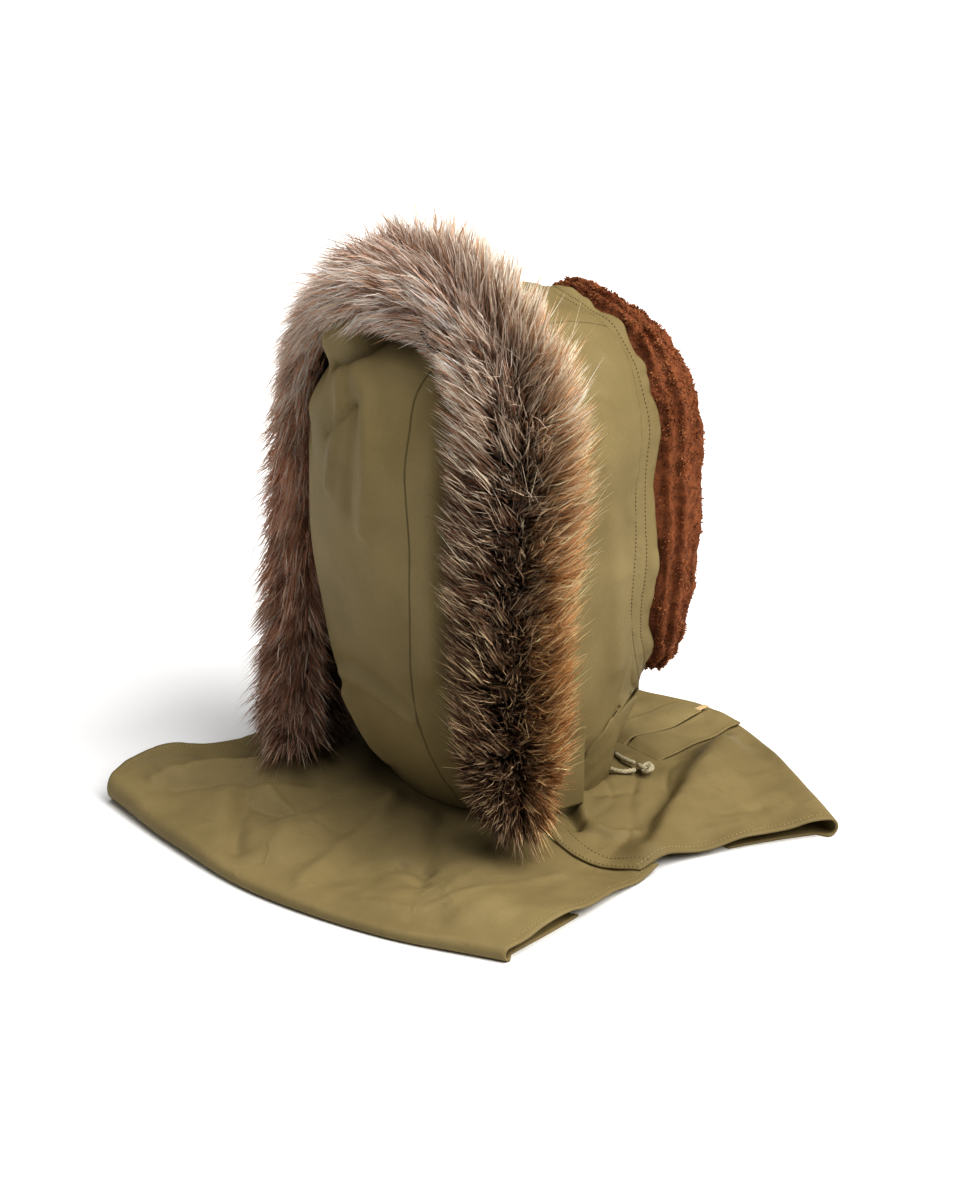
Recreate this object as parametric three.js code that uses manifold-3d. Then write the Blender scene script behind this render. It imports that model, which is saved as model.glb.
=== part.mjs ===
// A detachable cloth hood with a shearling face roll, a long-haired fur ruff over the crown and a wide
// cape that lies on the surface it stands on. Millimetres, +Z up, the face opening looks along -Y. The
// hood stands on its cape. The origin is under the middle of the whole part, on that surface.
import * as THREE from "three";
import { mergeVertices } from "three/addons/utils/BufferGeometryUtils.js";
import Module from "manifold-3d";

const wasm = await Module();
wasm.setup();

// Driving dimensions of the hood.
const hoodWidth = 230;
const hoodDepth = 258;
const hoodRise = 367; // from the neck seam to the crown
const hoodWall = 2; // shell cloth and lining together
const neckHeight = 19; // top of the cape round the neck
const throatHeight = 69; // closed front between the neck and the face opening
const throatInset = 6; // the throat panel lies this far inside the shell's outside
const throatLap = 9; // and runs on behind the piped edges
const throatTuck = 6; // its top stays this far below the face opening
const throatRows = 3;
const browDrop = 11; // the face opening's top, below the crown
const sideMargin = 19; // the face opening's side, inside the hood's widest line
const widestShare = 0.55; // the face opening is widest here, up from its bottom
const bandSide = 11; // how far the face band's seam lies outside the opening
const bandBrow = 5;
const bandThroat = 14;
const bandGather = 3.4; // how far the gathered edge of the band stands out

// Driving dimensions of the two furs.
const rollWidth = 44; // shearling roll, along the way the face looks
const rollTopShare = 0.72; // of that width over the brow
const rollThroatShare = 0.5; // and at the throat
const rollThick = 29;
const rollLump = 1.6; // how far its lumps stand out
const rollGap = 3.2; // the roll starts this far in front of the cloth's edge
const facingDepth = 22; // shearling inside the opening
const facingThick = 10;
const facingGap = 2.2; // between the facing and the shell's lining
const backingWidth = 42;
const backingThick = 2.4;
const furWidth = 94;
const furPile = 44;
const lockDepth = 11; // how far the fur's locks stand out and in
const lockSway = 0.5; // of that depth, sideways
const lockDrop = 0.4; // of that depth, downwards

// Driving dimensions of the cape and what is on it.
const capeWidth = 440;
const capeLength = 480;
const capeWall = 1.8;
const neckLedge = 9; // flat ring of cape that the hood's edge stands on
const neckFall = 74; // the cape comes down from the neck over this width
const neckBend = 0.8; // below 1 the cape keeps its height longer before it comes down
const neckHole = 0.85; // the hole in the cape, as a share of the hood's lower edge
const lowestCloth = 2.4; // the cape's cloth stays this high, in thicknesses
const underShare = 0.5; // how much of each panel's run is folded back under it
const shoulderLap = 16; // the front panel lies this far over the back panel
const flapSet = -22; // the flap's back edge, forward of the neck's centre
const flapWidth = 56;
const flapTop = 58;
const flapThick = 1.8;
const flapGap = 0.1; // between a flap and the shell's smooth outside, which its facets lie just inside
const flapSeam = 10; // the flap's top, above where it leaves the shell
const flapClear = 3; // its lower edge, above the neck seam
const placketWidth = 32;
const underlapWidth = 27;
const placketLength = 100;
const placketThick = 1.5;
const slitWidth = 2.4;
const tapeWidth = 9;
const tapeLength = 12;
const tapeThick = 0.9;

// The drawcord's two ends. Each comes out of an eyelet and carries a knot.
const cordDiameter = 4;
const cordStep = 2; // in diameters
const knotRing = 4.3; // radius of each of the knot's two turns
const knotTilt = 0.25; // of each turn, in radians
const eyeletRadius = 4.6;
const eyeletThick = 2.2;
const eyeletAcross = 30;
const eyeletUp = 24; // above the neck seam
const eyeletGap = 0.7; // between the eyelet and the curved panel

const seamGap = 0.4; // between pieces that touch
const furGap = 0.7; // between the fur's skin and its curved backing
const stripGap = 1.9; // under the placket's strip, over the cape's folds
const underlapGap = 0.6; // under the strip on the slit's other side
const lapGap = 0.9; // between curved layers of the cape
const cordSides = 8;

// Sections of the hood, from the neck seam to the crown: height as a share of hoodRise, half width as a
// share of half of hoodWidth, and back and front reach as shares of half of hoodDepth.
const hoodSections = [
  { up: 0.0, side: 0.7, back: 0.53, front: 0.65 },
  { up: 0.05, side: 0.76, back: 0.62, front: 0.69 },
  { up: 0.11, side: 0.82, back: 0.72, front: 0.77 },
  { up: 0.2, side: 0.89, back: 0.81, front: 0.86 },
  { up: 0.36, side: 0.96, back: 0.91, front: 0.94 },
  { up: 0.56, side: 1.0, back: 0.97, front: 0.98 },
  { up: 0.74, side: 0.99, back: 0.97, front: 0.96 },
  { up: 0.86, side: 0.9, back: 0.89, front: 0.87 },
  { up: 0.94, side: 0.73, back: 0.73, front: 0.71 },
  { up: 0.98, side: 0.5, back: 0.52, front: 0.49 },
  { up: 0.996, side: 0.24, back: 0.27, front: 0.24 },
  { up: 1.0, side: 0.0, back: 0.0, front: 0.0 },
];
const sectionPower = 2.4; // 2 is an ellipse, more is squarer
const hoodShift = 10; // the sections' centre, forward of the neck's centre

// Dents of the hood: where in the turn (0 at the wearer's left, 0.25 at the front, 0.75 at the back),
// height as a share of hoodRise, spread in both, and depth as a share of hoodWidth.
const hoodDents = [
  { name: "under the ruff left", turn: 0.9, up: 0.88, spreadTurn: 0.04, spreadUp: 0.08, depth: 0.045 },
  { name: "back top left", turn: 0.83, up: 0.86, spreadTurn: 0.03, spreadUp: 0.04, depth: 0.028 },
  { name: "back crease high", turn: 0.84, up: 0.73, spreadTurn: 0.03, spreadUp: 0.03, depth: 0.013 },
  { name: "back hollow low", turn: 0.82, up: 0.1, spreadTurn: 0.05, spreadUp: 0.05, depth: 0.022 },
  { name: "nape right", turn: 0.69, up: 0.14, spreadTurn: 0.03, spreadUp: 0.08, depth: 0.018 },
  { name: "side right low", turn: 0.4, up: 0.2, spreadTurn: 0.05, spreadUp: 0.07, depth: 0.02 },
  { name: "side left low", turn: 0.1, up: 0.2, spreadTurn: 0.05, spreadUp: 0.07, depth: 0.02 },
];

// The cape's outline and its edges in plan: across and forward of the neck's centre, as shares of
// capeWidth and capeLength. "high" is the top of the cloth there, in thicknesses of the cape's cloth.
const backFold = [
  { across: -0.542, forward: -0.237, high: 6.5 },
  { across: -0.372, forward: -0.359, high: 5 },
  { across: -0.15, forward: -0.461, high: 6 },
  { across: 0.07, forward: -0.505, high: 9 },
  { across: 0.262, forward: -0.525, high: 12 },
];
const frontFold = [
  { across: -0.461, forward: 0.398, high: 9 },
  { across: -0.268, forward: 0.442, high: 7 },
  { across: -0.088, forward: 0.468, high: 5 },
  { across: 0.043, forward: 0.458, high: 5 },
  { across: 0.134, forward: 0.4, high: 6 },
  { across: 0.295, forward: 0.35, high: 8 },
  { across: 0.43, forward: 0.245, high: 9 },
];
const rightHem = [
  { across: -0.542, forward: -0.237, high: 6.5 },
  { across: -0.505, forward: -0.135, high: 8.5 },
  { across: -0.458, forward: -0.03, high: 5 },
  { across: -0.416, forward: 0.065, high: 2.6 },
];
const rightHemFront = [
  { across: -0.416, forward: 0.065, high: 2.6 },
  { across: -0.409, forward: 0.15, high: 3.2 },
  { across: -0.43, forward: 0.29, high: 6.5 },
  { across: -0.461, forward: 0.398, high: 9 },
];
const leftHem = [
  { across: 0.262, forward: -0.525, high: 12 },
  { across: 0.338, forward: -0.43, high: 10 },
  { across: 0.325, forward: -0.275, high: 7 },
  { across: 0.355, forward: -0.12, high: 5.5 },
  { across: 0.39, forward: 0.008, high: 5 },
];
const leftHemFront = [
  { across: 0.39, forward: 0.008, high: 5 },
  { across: 0.42, forward: 0.13, high: 6 },
  { across: 0.43, forward: 0.245, high: 9 },
];
// The front panel's bound edge, which lies on the back panel from hem to hem under the neck.
const shoulderEdge = [
  { across: -0.416, forward: 0.065, high: 2.6 },
  { across: -0.38, forward: 0.033, high: 4 },
  { across: -0.339, forward: 0.004, high: 5 },
  { across: -0.298, forward: -0.01, high: 6 },
  { across: -0.25, forward: -0.01, high: 7 },
  { across: -0.17, forward: 0.024, high: 9 },
  { across: 0.0, forward: 0.03, high: 10 },
  { across: 0.17, forward: 0.02, high: 9 },
  { across: 0.25, forward: -0.01, high: 7 },
  { across: 0.32, forward: -0.01, high: 6 },
  { across: 0.39, forward: 0.008, high: 5 },
];
// Folds of the cape: each runs from one plan point to another, with its half width and its height, all as
// shares of capeWidth and capeLength for places, and of capeWidth for widths and heights. A height below
// zero is a hollow.
const capeFolds = [
  { name: "left ridge", from: [0.22, -0.42], to: [0.19, -0.2], width: 0.05, height: 0.016 },
  { name: "left hollow", from: [0.28, -0.34], to: [0.25, -0.18], width: 0.045, height: -0.014 },
  { name: "back ridge", from: [0.11, -0.4], to: [0.13, -0.2], width: 0.045, height: 0.013 },
  { name: "back hollow", from: [0.04, -0.34], to: [0.07, -0.2], width: 0.045, height: -0.014 },
  { name: "back swell", from: [-0.06, -0.38], to: [-0.01, -0.2], width: 0.05, height: 0.014 },
  { name: "back dip", from: [-0.2, -0.32], to: [-0.1, -0.2], width: 0.06, height: -0.01 },
  { name: "corner ridge", from: [-0.4, -0.21], to: [-0.2, -0.14], width: 0.06, height: 0.012 },
  { name: "shoulder hollow", from: [-0.3, 0.07], to: [-0.25, 0.12], width: 0.05, height: -0.016 },
  { name: "chest ridge", from: [-0.37, 0.11], to: [-0.17, 0.38], width: 0.05, height: 0.028 },
  { name: "chest valley", from: [-0.27, 0.13], to: [-0.13, 0.28], width: 0.045, height: -0.012 },
  { name: "front left swell", from: [0.2, 0.16], to: [0.32, 0.26], width: 0.06, height: 0.016 },
];

// Columns of numbers read smoothly: t runs from 0 to 1 over equally spaced rows.
const column = (rows, name) => rows.map((row) => row[name]);
function smoothRead(values, t) {
  const last = values.length - 1;
  const place = THREE.MathUtils.clamp(t, 0, 1) * last;
  const i = Math.min(Math.floor(place), last - 1);
  const f = place - i;
  const slope = (k) => {
    if (k <= 0 || k >= last) return k <= 0 ? values[1] - values[0] : values[last] - values[last - 1];
    const before = values[k] - values[k - 1];
    const after = values[k + 1] - values[k];
    return before * after <= 0 ? 0 : (2 * before * after) / (before + after);
  };
  const [a, b, sa, sb] = [values[i], values[i + 1], slope(i), slope(i + 1)];
  const f2 = f * f;
  const f3 = f2 * f;
  return a * (2 * f3 - 3 * f2 + 1) + sa * (f3 - 2 * f2 + f) + b * (3 * f2 - 2 * f3) + sb * (f3 - f2);
}
const smoothStep = (low, high, x) => THREE.MathUtils.smoothstep(x, low, high);
const mix = THREE.MathUtils.lerp;
const power = (x, n) => Math.sign(x) * Math.abs(x) ** n;
const steady = (n) => {
  const x = Math.sin(n * 127.1 + 11.7) * 43758.5453;
  return x - Math.floor(x);
};

// A closed skin built from points and faces, turned to face outwards at the end.
class Skin {
  points = [];
  faces = [];
  add(point) {
    this.points.push(point);
    return this.points.length - 1;
  }
  addRow(row) {
    return row.map((point) => this.add(point));
  }
  quad(a, b, c, d) {
    this.faces.push([a, b, c], [a, c, d]);
  }
  // Faces between two rows of point numbers; a ring closes on itself.
  bridge(low, high, ring = false) {
    const steps = ring ? low.length : low.length - 1;
    for (let j = 0; j < steps; j++) {
      const k = (j + 1) % low.length;
      this.quad(low[j], low[k], high[k], high[j]);
    }
  }
  // Closes a ring with a fan onto a point.
  fan(ring, tip, reversed = false) {
    ring.forEach((a, j) => {
      const b = ring[(j + 1) % ring.length];
      this.faces.push(reversed ? [b, a, tip] : [a, b, tip]);
    });
  }
  geometry() {
    const volume = this.faces.reduce((sum, [a, b, c]) => {
      const [p, q, r] = [this.points[a], this.points[b], this.points[c]];
      return sum + p.dot(q.clone().cross(r));
    }, 0);
    const index = this.faces.flatMap(([a, b, c]) => (volume < 0 ? [a, c, b] : [a, b, c]));
    const made = new THREE.BufferGeometry();
    const numbers = this.points.flatMap((p) => p.toArray());
    made.setAttribute("position", new THREE.Float32BufferAttribute(numbers, 3));
    made.setIndex(index);
    return made;
  }
}

// A sheet with thickness: two grids of points, one for each face, joined round their edges. Both faces
// split their squares along the same diagonal, so a thin sheet never meets itself.
function sheetSolid(outer, inner, ring = false) {
  const skin = new Skin();
  const outerRows = outer.map((row) => skin.addRow(row));
  const innerRows = inner.map((row) => skin.addRow(row));
  const steps = ring ? outer.length : outer.length - 1;
  for (let i = 0; i < steps; i++) {
    const k = (i + 1) % outer.length;
    const last = outerRows[i].length - 1;
    for (let j = 0; j < last; j++) {
      const [a, b, c, d] = [outerRows[i][j], outerRows[i][j + 1], outerRows[k][j + 1], outerRows[k][j]];
      const [e, f, g, h] = [innerRows[i][j], innerRows[i][j + 1], innerRows[k][j + 1], innerRows[k][j]];
      skin.faces.push([a, b, c], [a, c, d], [e, g, f], [e, h, g]);
    }
    skin.quad(outerRows[k][0], innerRows[k][0], innerRows[i][0], outerRows[i][0]);
    skin.quad(outerRows[i][last], innerRows[i][last], innerRows[k][last], outerRows[k][last]);
  }
  if (!ring) {
    const end = outer.length - 1;
    skin.bridge(innerRows[0], outerRows[0]);
    skin.bridge(outerRows[end], innerRows[end]);
  }
  return skin.geometry();
}

// A tube through rings of points, closed by fans at its ends or run round into itself.
function tubeSolid(rings, closed = false) {
  const skin = new Skin();
  const rows = rings.map((ring) => skin.addRow(ring));
  const steps = closed ? rows.length : rows.length - 1;
  for (let i = 0; i < steps; i++) skin.bridge(rows[i], rows[(i + 1) % rows.length], true);
  if (!closed) {
    const middle = (ring) =>
      skin.add(ring.reduce((sum, p) => sum.add(p), new THREE.Vector3()).divideScalar(ring.length));
    skin.fan(rows[0], middle(rings[0]), true);
    skin.fan(rows[rows.length - 1], middle(rings[rings.length - 1]));
  }
  return skin.geometry();
}

// Boolean cuts.
function toManifold(geometry) {
  const bare = geometry.clone();
  bare.deleteAttribute("normal");
  bare.deleteAttribute("uv");
  const merged = mergeVertices(bare, 1e-4);
  return new wasm.Manifold(
    new wasm.Mesh({
      numProp: 3,
      vertProperties: merged.attributes.position.array,
      triVerts: new Uint32Array(merged.index.array),
    }),
  );
}
function fromManifold(solid) {
  const mesh = solid.getMesh();
  const made = new THREE.BufferGeometry();
  made.setAttribute("position", new THREE.BufferAttribute(Float32Array.from(mesh.vertProperties), 3));
  made.setIndex(Array.from(mesh.triVerts));
  return made;
}
const cutAway = (geometry, cutter) => fromManifold(toManifold(geometry).subtract(toManifold(cutter)));

// The hood's outer surface. The turn is 0 at the wearer's left and 0.25 at the front.
const halfWidth = hoodWidth / 2;
const halfDepth = hoodDepth / 2;
const hoodBase = neckHeight + seamGap;
const crownHeight = hoodBase + hoodRise;
const hoodAt = (t) => ({
  up: hoodBase + hoodRise * smoothRead(column(hoodSections, "up"), t),
  side: halfWidth * smoothRead(column(hoodSections, "side"), t),
  back: halfDepth * smoothRead(column(hoodSections, "back"), t),
  front: halfDepth * smoothRead(column(hoodSections, "front"), t),
});
function dentAt(turn, share) {
  return hoodDents.reduce((sum, dent) => {
    const apart = Math.abs(turn - dent.turn);
    const turns = Math.min(apart, 1 - apart) / dent.spreadTurn;
    const ups = (share - dent.up) / dent.spreadUp;
    return sum + hoodWidth * dent.depth * Math.exp(-turns * turns - ups * ups);
  }, 0);
}
function hoodPoint(turn, t) {
  const section = hoodAt(t);
  const angle = turn * 2 * Math.PI;
  const reach = Math.sin(angle) > 0 ? section.front : section.back;
  const inward = 1 - dentAt(turn, (section.up - hoodBase) / hoodRise) / halfWidth;
  const x = section.side * inward * power(Math.cos(angle), 2 / sectionPower);
  const forward = reach * inward * power(Math.sin(angle), 2 / sectionPower);
  return new THREE.Vector3(x, -(hoodShift + forward), section.up);
}
// The level t where the hood's surface reaches a height.
function levelAt(height) {
  let [low, high] = [0, 1];
  for (let step = 0; step < 40; step++) {
    const middle = (low + high) / 2;
    if (hoodAt(middle).up < height) low = middle;
    else high = middle;
  }
  return (low + high) / 2;
}
// How far forward the hood's front lies at a place across and a height.
function frontOf(x, height) {
  const section = hoodAt(levelAt(height));
  const left = Math.max(0, 1 - Math.abs(x / section.side) ** sectionPower);
  return hoodShift + section.front * left ** (1 / sectionPower);
}
// How far out the hood's side lies at a distance forward, for a level t.
function sideOf(forward, t) {
  const section = hoodAt(t);
  const reach = forward > hoodShift ? section.front : section.back;
  const left = 1 - Math.abs((forward - hoodShift) / reach) ** sectionPower;
  return left > 0 ? section.side * left ** (1 / sectionPower) : 0;
}

// The face opening seen from the front: two half superellipses, shorter above and longer below.
const browPower = 2.5;
const throatPower = 3;
const openingTop = crownHeight - browDrop;
const openingBottom = hoodBase + throatHeight;
const openingMiddle = mix(openingBottom, openingTop, widestShare);
function facePoint(turn, grow) {
  const angle = turn * 2 * Math.PI;
  const over = Math.sin(angle) > 0;
  const bend = 2 / (over ? browPower : throatPower);
  const above = openingTop + grow * bandBrow - openingMiddle;
  const below = openingMiddle - openingBottom + grow * bandThroat;
  const reach = over ? above : below;
  return {
    x: (halfWidth - sideMargin + grow * bandSide) * power(Math.cos(angle), bend),
    height: openingMiddle + reach * power(Math.sin(angle), bend),
  };
}
function faceEdge(turn, grow = 0) {
  const { x, height } = facePoint(turn, grow);
  return new THREE.Vector3(x, -frontOf(x, height), height);
}
// The way out of the opening in the plane that the face looks through.
function faceOut(turn) {
  const step = 0.004;
  const [a, b] = [facePoint(turn - step, 0), facePoint(turn + step, 0)];
  return new THREE.Vector3(b.height - a.height, 0, a.x - b.x).normalize();
}

// Outward normal of the hood's front at a place across and a height.
function frontNormal(x, height) {
  const step = 0.5;
  const slopeX = (frontOf(x + step, height) - frontOf(x - step, height)) / (2 * step);
  const slopeZ = (frontOf(x, height + step) - frontOf(x, height - step)) / (2 * step);
  const limit = 2.5; // near the sides and the crown the front runs away, so its slope is held
  const held = (s) => THREE.MathUtils.clamp(s, -limit, limit);
  return new THREE.Vector3(-held(slopeX), -1, -held(slopeZ)).normalize();
}

// The hood's surface moved inwards.
function hoodInset(turn, t, inset) {
  const step = 0.003;
  const along = hoodPoint(turn + step, t).sub(hoodPoint(turn - step, t));
  const up = hoodPoint(turn, Math.min(t + step, 1)).sub(hoodPoint(turn, Math.max(t - step, 0)));
  const moved = hoodPoint(turn, t).addScaledVector(up.cross(along).normalize(), -inset);
  if (t === 0) moved.z = hoodBase; // the lower edge stays level
  return moved;
}
function makeHoodShell() {
  const [levels, turns] = [15, 40];
  const bunch = 0.92; // below 1 the levels stand closer towards the crown
  const ringOf = (i, inset) =>
    Array.from({ length: turns }, (_, j) => hoodInset(j / turns, (i / levels) ** bunch, inset));
  const skin = new Skin();
  const outerRows = Array.from({ length: levels }, (_, i) => skin.addRow(ringOf(i, 0)));
  const innerRows = Array.from({ length: levels }, (_, i) => skin.addRow(ringOf(i, hoodWall)));
  for (let i = 0; i < levels - 1; i++) {
    skin.bridge(outerRows[i], outerRows[i + 1], true);
    skin.bridge(innerRows[i + 1], innerRows[i], true);
  }
  skin.bridge(innerRows[0], outerRows[0], true);
  const top = (height) => skin.add(new THREE.Vector3(0, -hoodShift, height));
  skin.fan(outerRows[levels - 1], top(crownHeight));
  skin.fan(innerRows[levels - 1], top(crownHeight - hoodWall), true);
  return cutAway(cutAway(skin.geometry(), facePrism(1)), throatPrism());
}

// A prism through the front of the hood, in the shape of the face opening.
function facePrism(grow) {
  const steps = 56;
  const shape = new THREE.Shape(
    Array.from({ length: steps }, (_, k) => {
      const { x, height } = facePoint(k / steps, grow);
      return new THREE.Vector2(x, height);
    }),
  );
  const start = hoodShift;
  const prism = new THREE.ExtrudeGeometry(shape, { depth: hoodDepth, bevelEnabled: false });
  prism.rotateX(Math.PI / 2); // the prism now runs along -Y, its outline in X and Z
  prism.translate(0, -start, 0);
  return prism;
}

// Each side of the shell ends in front in a piped edge, from the face band's lower corner back to the
// neck. Forward is a share of half of hoodDepth and up is a share of hoodRise.
const pipedEdge = [
  { forward: 0.24, up: -0.02 },
  { forward: 0.26, up: 0.05 },
  { forward: 0.3, up: 0.1 },
  { forward: 0.42, up: 0.145 },
  { forward: 0.56, up: 0.185 },
];
const pipedForward = ({ forward }) => forward * halfDepth;
const pipedUp = ({ up }) => hoodBase + up * hoodRise;
function throatPrism() {
  const low = pipedEdge[0];
  const high = pipedEdge[pipedEdge.length - 1];
  const shape = new THREE.Shape([
    ...pipedEdge.map((row) => new THREE.Vector2(pipedForward(row), pipedUp(row))),
    new THREE.Vector2(hoodDepth, pipedUp(high)),
    new THREE.Vector2(hoodDepth, pipedUp(low)),
  ]);
  const across = 1.2 * hoodWidth; // the prism passes out of both sides of the hood
  const prism = new THREE.ExtrudeGeometry(shape, { depth: across, bevelEnabled: false });
  prism.rotateX(Math.PI / 2); // its outline now stands in X and Z, and it runs along -Y
  prism.rotateZ(-Math.PI / 2); // its outline now runs along -Y, and the prism along -X
  prism.translate(across / 2, 0, 0);
  return prism;
}
// The height of the piped edge at a distance forward.
function pipedHeight(forward) {
  const last = pipedEdge.length - 1;
  for (let i = 0; i < last; i++) {
    const [a, b] = [pipedEdge[i], pipedEdge[i + 1]];
    if (forward <= pipedForward(b)) {
      const share = (forward - pipedForward(a)) / (pipedForward(b) - pipedForward(a));
      return mix(pipedUp(a), pipedUp(b), Math.max(0, share));
    }
  }
  return pipedUp(pipedEdge[last]);
}
// The throat panel closes the neck in front, inside the two piped edges.
function makeThroatPanel() {
  const columns = 14;
  const [start, end] = [0.035, 0.465];
  const outer = [];
  const inner = [];
  for (let j = 0; j <= columns; j++) {
    const turn = mix(start, end, j / columns);
    const foot = -hoodPoint(turn, levelAt(hoodBase + throatHeight / 2)).y;
    const top = Math.min(openingBottom - throatTuck, pipedHeight(foot) + throatLap);
    const levelOf = (i) => levelAt(mix(hoodBase, top, i / throatRows));
    const levels = Array.from({ length: throatRows + 1 }, (_, i) => levelOf(i));
    outer.push(levels.map((level) => hoodInset(turn, level, throatInset)));
    inner.push(levels.map((level) => hoodInset(turn, level, throatInset + hoodWall)));
  }
  return sheetSolid(outer, inner);
}

// The band of cloth round the face opening, from its seam to its gathered edge. Its folds follow a wave
// whose angle grows by gatherTurn at each step, and a slower wave makes them uneven.
const gatherTurn = 1.47;
const unevenTurn = 0.31;
const unevenReach = 1.3;
function makeFaceBand() {
  const [steps, rows] = [58, 4];
  const outer = [];
  const inner = [];
  const seamShare = 1 - (1.6 * seamGap) / bandSide;
  for (let k = 0; k < steps; k++) {
    const turn = k / steps;
    const wave = Math.sin(k * gatherTurn + unevenReach * Math.sin(k * unevenTurn));
    const gather = bandGather * (0.5 + 0.5 * wave);
    const outerRow = [];
    const innerRow = [];
    for (let i = 0; i < rows; i++) {
      const share = i / (rows - 1);
      const { x, height } = facePoint(turn, mix(seamShare, 0, share));
      const normal = frontNormal(x, height);
      const p = new THREE.Vector3(x, -frontOf(x, height), height);
      p.addScaledVector(normal, gather * share * share);
      outerRow.push(p);
      innerRow.push(p.clone().addScaledVector(normal, -hoodWall));
    }
    outer.push(outerRow);
    inner.push(innerRow);
  }
  return sheetSolid(outer, inner, true);
}

// The shearling: a facing inside the opening and a roll in front of it, with two grooves along the roll.
// Rows are places in the section: forward of the cloth's edge and outward from it, in shares.
const rollSection = [
  { forward: -1.0, out: -0.15, part: "facing" },
  { forward: -0.4, out: 0.0, part: "facing" },
  { forward: 0.04, out: 0.02, part: "roll" },
  { forward: 0.2, out: 0.26, part: "roll" },
  { forward: 0.36, out: 0.2, part: "roll" },
  { forward: 0.5, out: 0.29, part: "roll" },
  { forward: 0.68, out: 0.16, part: "roll" },
  { forward: 0.86, out: 0.1, part: "roll" },
  { forward: 1.0, out: -0.22, part: "roll" },
  { forward: 0.94, out: -0.55, part: "roll" },
  { forward: 0.7, out: -0.72, part: "roll" },
  { forward: 0.4, out: -0.68, part: "roll" },
  { forward: 0.1, out: -0.6, part: "roll" },
  { forward: -0.5, out: -1.0, part: "facing" },
  { forward: -1.0, out: -0.85, part: "facing" },
];
function rollReach(turn) {
  const up = Math.sin(turn * 2 * Math.PI);
  return rollWidth * mix(1, up > 0 ? rollTopShare : rollThroatShare, up * up);
}
// The roll's lumps follow a wave round the opening and round the section, and fade where it meets the cloth.
const lumpTurn = 1.9;
const lumpRow = 1.1;
const lumpFade = 6;
function makeFaceRoll() {
  const steps = 42;
  const clearance = hoodWall + facingGap;
  const rings = Array.from({ length: steps }, (_, k) => {
    const turn = k / steps;
    const edge = faceEdge(turn);
    const out = faceOut(turn);
    return rollSection.map(({ forward, out: outShare, part }, j) => {
      const inFacing = part === "facing";
      const ahead = inFacing ? forward * facingDepth : forward * rollReach(turn) + rollGap;
      const held = Math.min(1, lumpFade * Math.abs(outShare));
      const lump = rollLump * Math.sin(k * lumpTurn + j * lumpRow) * held;
      const rollAcross = outShare * rollThick + lump - rollGap / 2;
      const across = inFacing ? outShare * facingThick - clearance : rollAcross;
      const p = edge.clone().addScaledVector(out, across);
      p.y -= ahead;
      return p;
    });
  });
  return tubeSolid(rings, true);
}

// The ruff's line over the hood, from its foot on the wearer's right to its foot on the left: across as a
// share of half of hoodWidth, forward of the neck's centre as a share of half of hoodDepth, up as a share
// of hoodRise, and the length of its pile as a share of furPile.
const ruffLine = [
  { across: -0.97, forward: -0.27, up: 0.035, pile: 0.9 },
  { across: -0.985, forward: -0.3, up: 0.15, pile: 1 },
  { across: -1.0, forward: -0.32, up: 0.35, pile: 1 },
  { across: -1.0, forward: -0.31, up: 0.6, pile: 1 },
  { across: -0.985, forward: -0.28, up: 0.77, pile: 1 },
  { across: -0.86, forward: -0.27, up: 0.89, pile: 1 },
  { across: -0.56, forward: -0.3, up: 0.97, pile: 1 },
  { across: -0.19, forward: -0.35, up: 1.01, pile: 1 },
  { across: 0.19, forward: -0.385, up: 1.005, pile: 0.92 },
  { across: 0.5, forward: -0.41, up: 0.97, pile: 0.78 },
  { across: 0.77, forward: -0.43, up: 0.89, pile: 0.6 },
  { across: 0.92, forward: -0.45, up: 0.77, pile: 0.68 },
  { across: 0.96, forward: -0.47, up: 0.58, pile: 0.9 },
  { across: 0.94, forward: -0.5, up: 0.34, pile: 0.95 },
  { across: 0.84, forward: -0.6, up: 0.15, pile: 0.95 },
  { across: 0.66, forward: -0.73, up: 0.014, pile: 0.9 },
];
const ruffSink = 1.7; // the backing lies this far inside the line, on the shell's crown
const ruffHub = { forward: -0.08, up: 0.62 }; // the ruff faces away from this line through the hood
const ruffCurve = new THREE.CatmullRomCurve3(
  ruffLine.map(
    ({ across, forward, up }) =>
      new THREE.Vector3(across * halfWidth, -forward * halfDepth, hoodBase + up * hoodRise),
  ),
);
// A point beside the ruff's line: offset forward along the hood, and lift away from it.
function ruffPoint(station, offset, lift) {
  const p = ruffCurve.getPointAt(station);
  const along = ruffCurve.getTangentAt(station);
  const hubHeight = Math.min(p.z, hoodBase + ruffHub.up * hoodRise);
  const hub = new THREE.Vector3(0, -ruffHub.forward * halfDepth, hubHeight);
  const away = p.clone().sub(hub);
  away.addScaledVector(along, -away.dot(along)).normalize();
  const ahead = away.clone().cross(along).normalize();
  if (ahead.y > 0) ahead.negate();
  return p.addScaledVector(ahead, offset).addScaledVector(away, lift - ruffSink);
}

const furHang = 0.014; // of the line's length: the fur hangs on past each end of its backing
function makeRuffBacking() {
  const stations = 36;
  const offsets = [-backingWidth / 2, 0, backingWidth / 2];
  const outer = [];
  const inner = [];
  for (let i = 0; i <= stations; i++) {
    const station = mix(furHang, 1 - furHang, i / stations);
    inner.push(offsets.map((offset) => ruffPoint(station, offset, 0)));
    outer.push(offsets.map((offset) => ruffPoint(station, offset, backingThick)));
  }
  return sheetSolid(outer, inner);
}

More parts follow.
